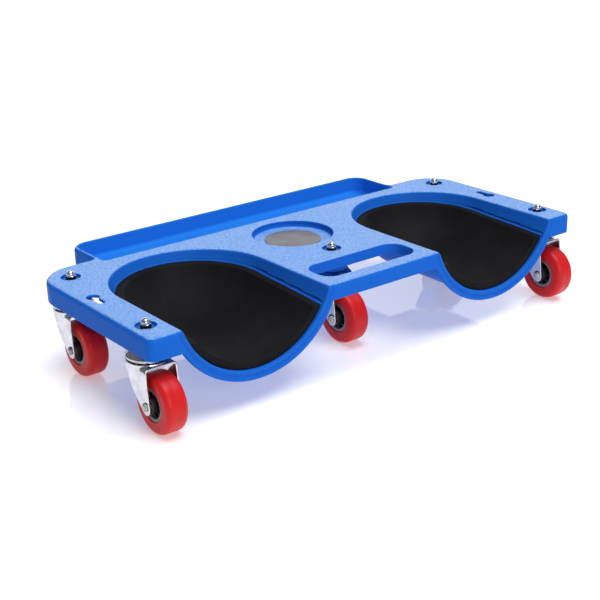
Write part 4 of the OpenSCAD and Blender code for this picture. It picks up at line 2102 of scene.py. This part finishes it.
    def build(self, place: Place, meshes: dict[str, bpy.types.Mesh], finishes: dict[str, Dressing]) -> None:
        """Puts one caster together.

        Args:
            place: Which caster.
            meshes: The meshes of its pieces, in its own frame.
            finishes: What each piece is dressed in.
        """
        spot = caster_spot(place)
        axle = spot + Vector((0.0, -self.trail * MM, self.wheel * MM))
        name = place.value
        for piece, node, label, body, where in (
            ("race", "upper_race", "swivel_race", "deck_body", spot),
            ("balls", "balls", "bearing_balls", f"{name}_caster", spot),
            ("fork", "fork", "pressed_fork", f"{name}_caster", spot),
            ("bolt", "axle_bolt", "hexagon_axle_bolt", f"{name}_caster", axle),
            ("nut", "axle_nut", "lock_nut", f"{name}_caster", axle),
            ("hub", "hub", "spoked_hub", f"{name}_wheel", axle),
            ("tyre", "tyre", "cast_tyre", f"{name}_wheel", axle),
        ):
            mesh = meshes[piece].copy()
            mesh.transform(Matrix.Translation(where))
            dress = finishes[piece]
            dressed(f"{name}_{label}", mesh, dress.material, dress.finish, body, f"{name}_{node}")
        finish_node(f"{name}_sleeve", finishes["sleeve"].material)


@dataclass
class CasterSet:
    """All five casters, cast once and put in five places."""

    caster: Caster = field(default_factory=Caster)

    def build(self) -> None:
        """Casts the pieces of a caster and builds the five of them."""
        caster = self.caster
        bright = Dressing.of(
            PlatedMetal(
                "bright_zinc",
                "fork_zinc",
                colour=(0.69, 0.69, 0.73, 1.0),
                dull=(0.56, 0.57, 0.6, 1.0),
                rough=(0.1, 0.22),
            )
        )
        race = Dressing.of(
            PlatedMetal(
                "polished_zinc",
                "race_zinc",
                colour=(0.6, 0.6, 0.63, 1.0),
                dull=(0.34, 0.34, 0.36, 1.0),
                rough=(0.06, 0.16),
            )
        )
        fastener = Dressing.of(
            PlatedMetal(
                "zinc_fasteners",
                "fastener_zinc",
                colour=(0.5, 0.53, 0.5, 1.0),
                dull=(0.3, 0.34, 0.31, 1.0),
                rough=(0.14, 0.3),
                grain=0.8,
            )
        )
        steel = Dressing.of(
            PlatedMetal(
                "greased_steel",
                "ball_steel",
                colour=(0.42, 0.42, 0.42, 1.0),
                dull=(0.2, 0.2, 0.2, 1.0),
                rough=(0.15, 0.35),
                grain=0.8,
            )
        )
        sleeve = Dressing.of(
            PlatedMetal(
                "turned_steel",
                "sleeve_steel",
                colour=(0.5, 0.51, 0.52, 1.0),
                dull=(0.34, 0.35, 0.36, 1.0),
                rough=(0.22, 0.4),
                grain=0.6,
            )
        )
        nylon = Dressing.of(Nylon("black_nylon", "hub_black"))
        tyre = Dressing.of(CastPolyurethane("red_polyurethane", "tyre_red"))
        outside = caster.inside + caster.sheet
        reach = caster.hex_flats / math.sqrt(3)
        end = outside + caster.nut + caster.thread_end
        bolt = Mould((-end, -reach, -reach), (outside + caster.head, reach, reach), step=0.4, most=6_000)
        nut = Mould((-outside - caster.nut, -reach, -reach), (-outside, reach, reach), step=0.3, most=6_000)
        meshes = {
            "race": caster.race_mesh(),
            "balls": caster.balls_mesh(steel.material),
            "fork": caster.fork_mesh(),
            "bolt": bolt.cast("bolt", caster.bolt_rule, Vector()),
            "nut": nut.cast("nut", caster.nut_rule, Vector()),
            "hub": caster.hub_mesh(nylon.material),
            "tyre": caster.tyre_mesh(),
        }
        finishes = {
            "race": race,
            "balls": steel,
            "fork": bright,
            "bolt": fastener,
            "nut": fastener,
            "hub": nylon,
            "tyre": tyre,
            "sleeve": sleeve,
        }
        for place in Place:
            caster.build(place, meshes, finishes)
        finish_node("kingpin_bolts", fastener.material)


@dataclass
class Studio:
    """The camera, a pale floor and soft lights, in metres.

    Attributes:
        camera_spot: Where the camera stands.
        yaw: Camera's turn from +y towards +x, in radians.
        pitch: How far it looks down, in radians.
        roll: Its lean, in radians.
        focal: Focal length in pixels of the photograph's frame.
        centre: Where its axis meets that frame, in pixels.
        picture: Width of the frame, in pixels.
        sensor: Width of the camera's sensor, in millimetres.
        floor_half: Half the width of the floor.
        floor_glow: How strongly the floor is lit from below.
        sun: Strength of the even light from above.
        sun_spread: How wide that light is, in degrees.
        sun_from: Where it comes from.
        sky: Strength of the white surroundings.
    """

    camera_spot: Corner = (-0.8204, -1.0659, 0.5529)
    yaw: float = 0.653
    pitch: float = 0.371
    roll: float = -0.027
    focal: float = 1212.2
    centre: tuple[float, float] = (301.2, 298.6)
    picture: float = 600.0
    sensor: float = 36.0
    floor_half: float = 9.0
    floor_glow: float = 0.31
    sun: float = 2.35
    sun_spread: float = 42.0
    sun_from: Corner = (0.12, -0.25, 1.0)
    sky: float = 0.2

    def camera(self) -> None:
        """Stands the camera where the photograph was taken from."""
        data = bpy.data.cameras.new("camera")
        data.sensor_width = self.sensor
        data.lens = self.focal / self.picture * self.sensor
        data.shift_x = (self.picture / 2 - self.centre[0]) / self.picture
        data.shift_y = (self.centre[1] - self.picture / 2) / self.picture
        data.clip_end = 50.0
        ahead = Vector(
            (
                math.sin(self.yaw) * math.cos(self.pitch),
                math.cos(self.yaw) * math.cos(self.pitch),
                -math.sin(self.pitch),
            )
        )
        level = Vector((math.cos(self.yaw), -math.sin(self.yaw), 0.0))
        up = level.cross(ahead)
        right = level * math.cos(self.roll) + up * math.sin(self.roll)
        top = up * math.cos(self.roll) - level * math.sin(self.roll)
        camera = bpy.data.objects.new("camera", data)
        turn = Matrix((right, top, -ahead)).transposed().to_4x4()
        camera.matrix_world = Matrix.Translation(self.camera_spot) @ turn
        bpy.context.scene.collection.objects.link(camera)
        bpy.context.scene.camera = camera

    def floor(self) -> None:
        """Lays a plain white floor of polished acrylic, lit a little from below."""
        half = self.floor_half
        mesh = bpy.data.meshes.new("floor")
        corners = [(-half, -half, 0), (half, -half, 0), (half, half, 0), (-half, half, 0)]
        mesh.from_pydata(corners, [], [(0, 1, 2, 3)])
        graph = Graph("floor_white")
        graph.give("Base Color", (0.93, 0.93, 0.95, 1.0))
        graph.give("Roughness", 0.05)
        graph.give("Specular IOR Level", 0.5)
        graph.give("Emission Color", (0.97, 0.97, 1.0, 1.0))
        graph.give("Emission Strength", self.floor_glow)
        mesh.materials.append(graph.material)
        floor = bpy.data.objects.new("floor", mesh)
        bpy.context.scene.collection.objects.link(floor)

    def light(self, name: str, spot: Corner, size: tuple[float, float], watts: float, colour: Corner) -> None:
        """Hangs one soft light that faces the creeper.

        Args:
            name: The light's name.
            spot: Where it hangs.
            size: Its width and height.
            watts: Its power.
            colour: Its colour.
        """
        data = bpy.data.lights.new(name, "AREA")
        data.shape = "RECTANGLE"
        data.size, data.size_y = size
        data.energy = watts
        data.color = colour
        lamp = bpy.data.objects.new(name, data)
        lamp.location = spot
        lamp.rotation_euler = Vector(spot).to_track_quat("Z", "Y").to_euler()
        bpy.context.scene.collection.objects.link(lamp)

    def overhead(self) -> None:
        """Hangs a wide even light over the whole floor."""
        data = bpy.data.lights.new("even_light_above", "SUN")
        data.energy = self.sun
        data.angle = math.radians(self.sun_spread)
        lamp = bpy.data.objects.new("even_light_above", data)
        lamp.rotation_euler = Vector(self.sun_from).to_track_quat("Z", "Y").to_euler()
        bpy.context.scene.collection.objects.link(lamp)

    def build(self) -> None:
        """Sets up the camera, the floor, the lights and the white surroundings."""
        self.camera()
        self.floor()
        self.light(
            "softbox_front", spot=(-0.6, -2.6, 1.0), size=(1.6, 1.0), watts=20.0, colour=(1.0, 0.99, 0.98)
        )
        self.light(
            "white_wall_behind", spot=(3.2, 4.2, 1.5), size=(10.0, 3.0), watts=100.0, colour=(1.0, 1.0, 1.0)
        )
        self.overhead()
        world = bpy.data.worlds.new("surroundings")
        world.use_nodes = True
        background = world.node_tree.nodes["Background"]
        background.inputs["Color"].default_value = (0.93, 0.95, 1.0, 1.0)
        background.inputs["Strength"].default_value = self.sky
        bpy.context.scene.world = world
        bpy.context.scene.view_settings.view_transform = "Standard"
        bpy.context.scene.view_settings.look = "None"


def main() -> None:
    """Builds the creeper and its studio."""
    logging.basicConfig(level=logging.INFO, format="%(message)s", stream=sys.stdout)
    Studio().build()
    origin = deck_origin()
    low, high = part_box("deck")
    spots = [(caster_spot(place) - caster_spot(Place.CENTRE)) / MM for place in Place]
    well = Well(deck_front=(origin.y - low.y) / MM)
    well.out = high.x / MM - well.land - well.mouth()
    deck = Deck(
        well=well,
        casters=[(spot.x, spot.y) for spot in spots],
        half_width=high.x / MM,
        front=(origin.y - low.y) / MM,
        tray_rear=(high.y - origin.y) / MM,
    )
    deck.build(origin)
    foam = Dressing.of(Foam("black_foam", "pad_foam"))
    for side in Side:
        KneePad(side, well).build(origin, foam.finish, foam.material)
    Badge().build(SatinDisc("grey_disc", "badge_grey"))
    nuts = CapNuts()
    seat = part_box("cap_nuts")[0].z
    # The nuts are painted dark as shade up to their hexagon's top, where they sit in their recesses.
    shade_to = seat + nuts.hexagon_top * MM
    chrome = Dressing.of(PlatedMetal("bright_chrome", "cap_chrome", rough=(0.04, 0.12), shade_to=shade_to))
    nuts.build(seat, chrome.finish, chrome.material)
    CasterSet().build()


if __name__ == "__main__":
    main()
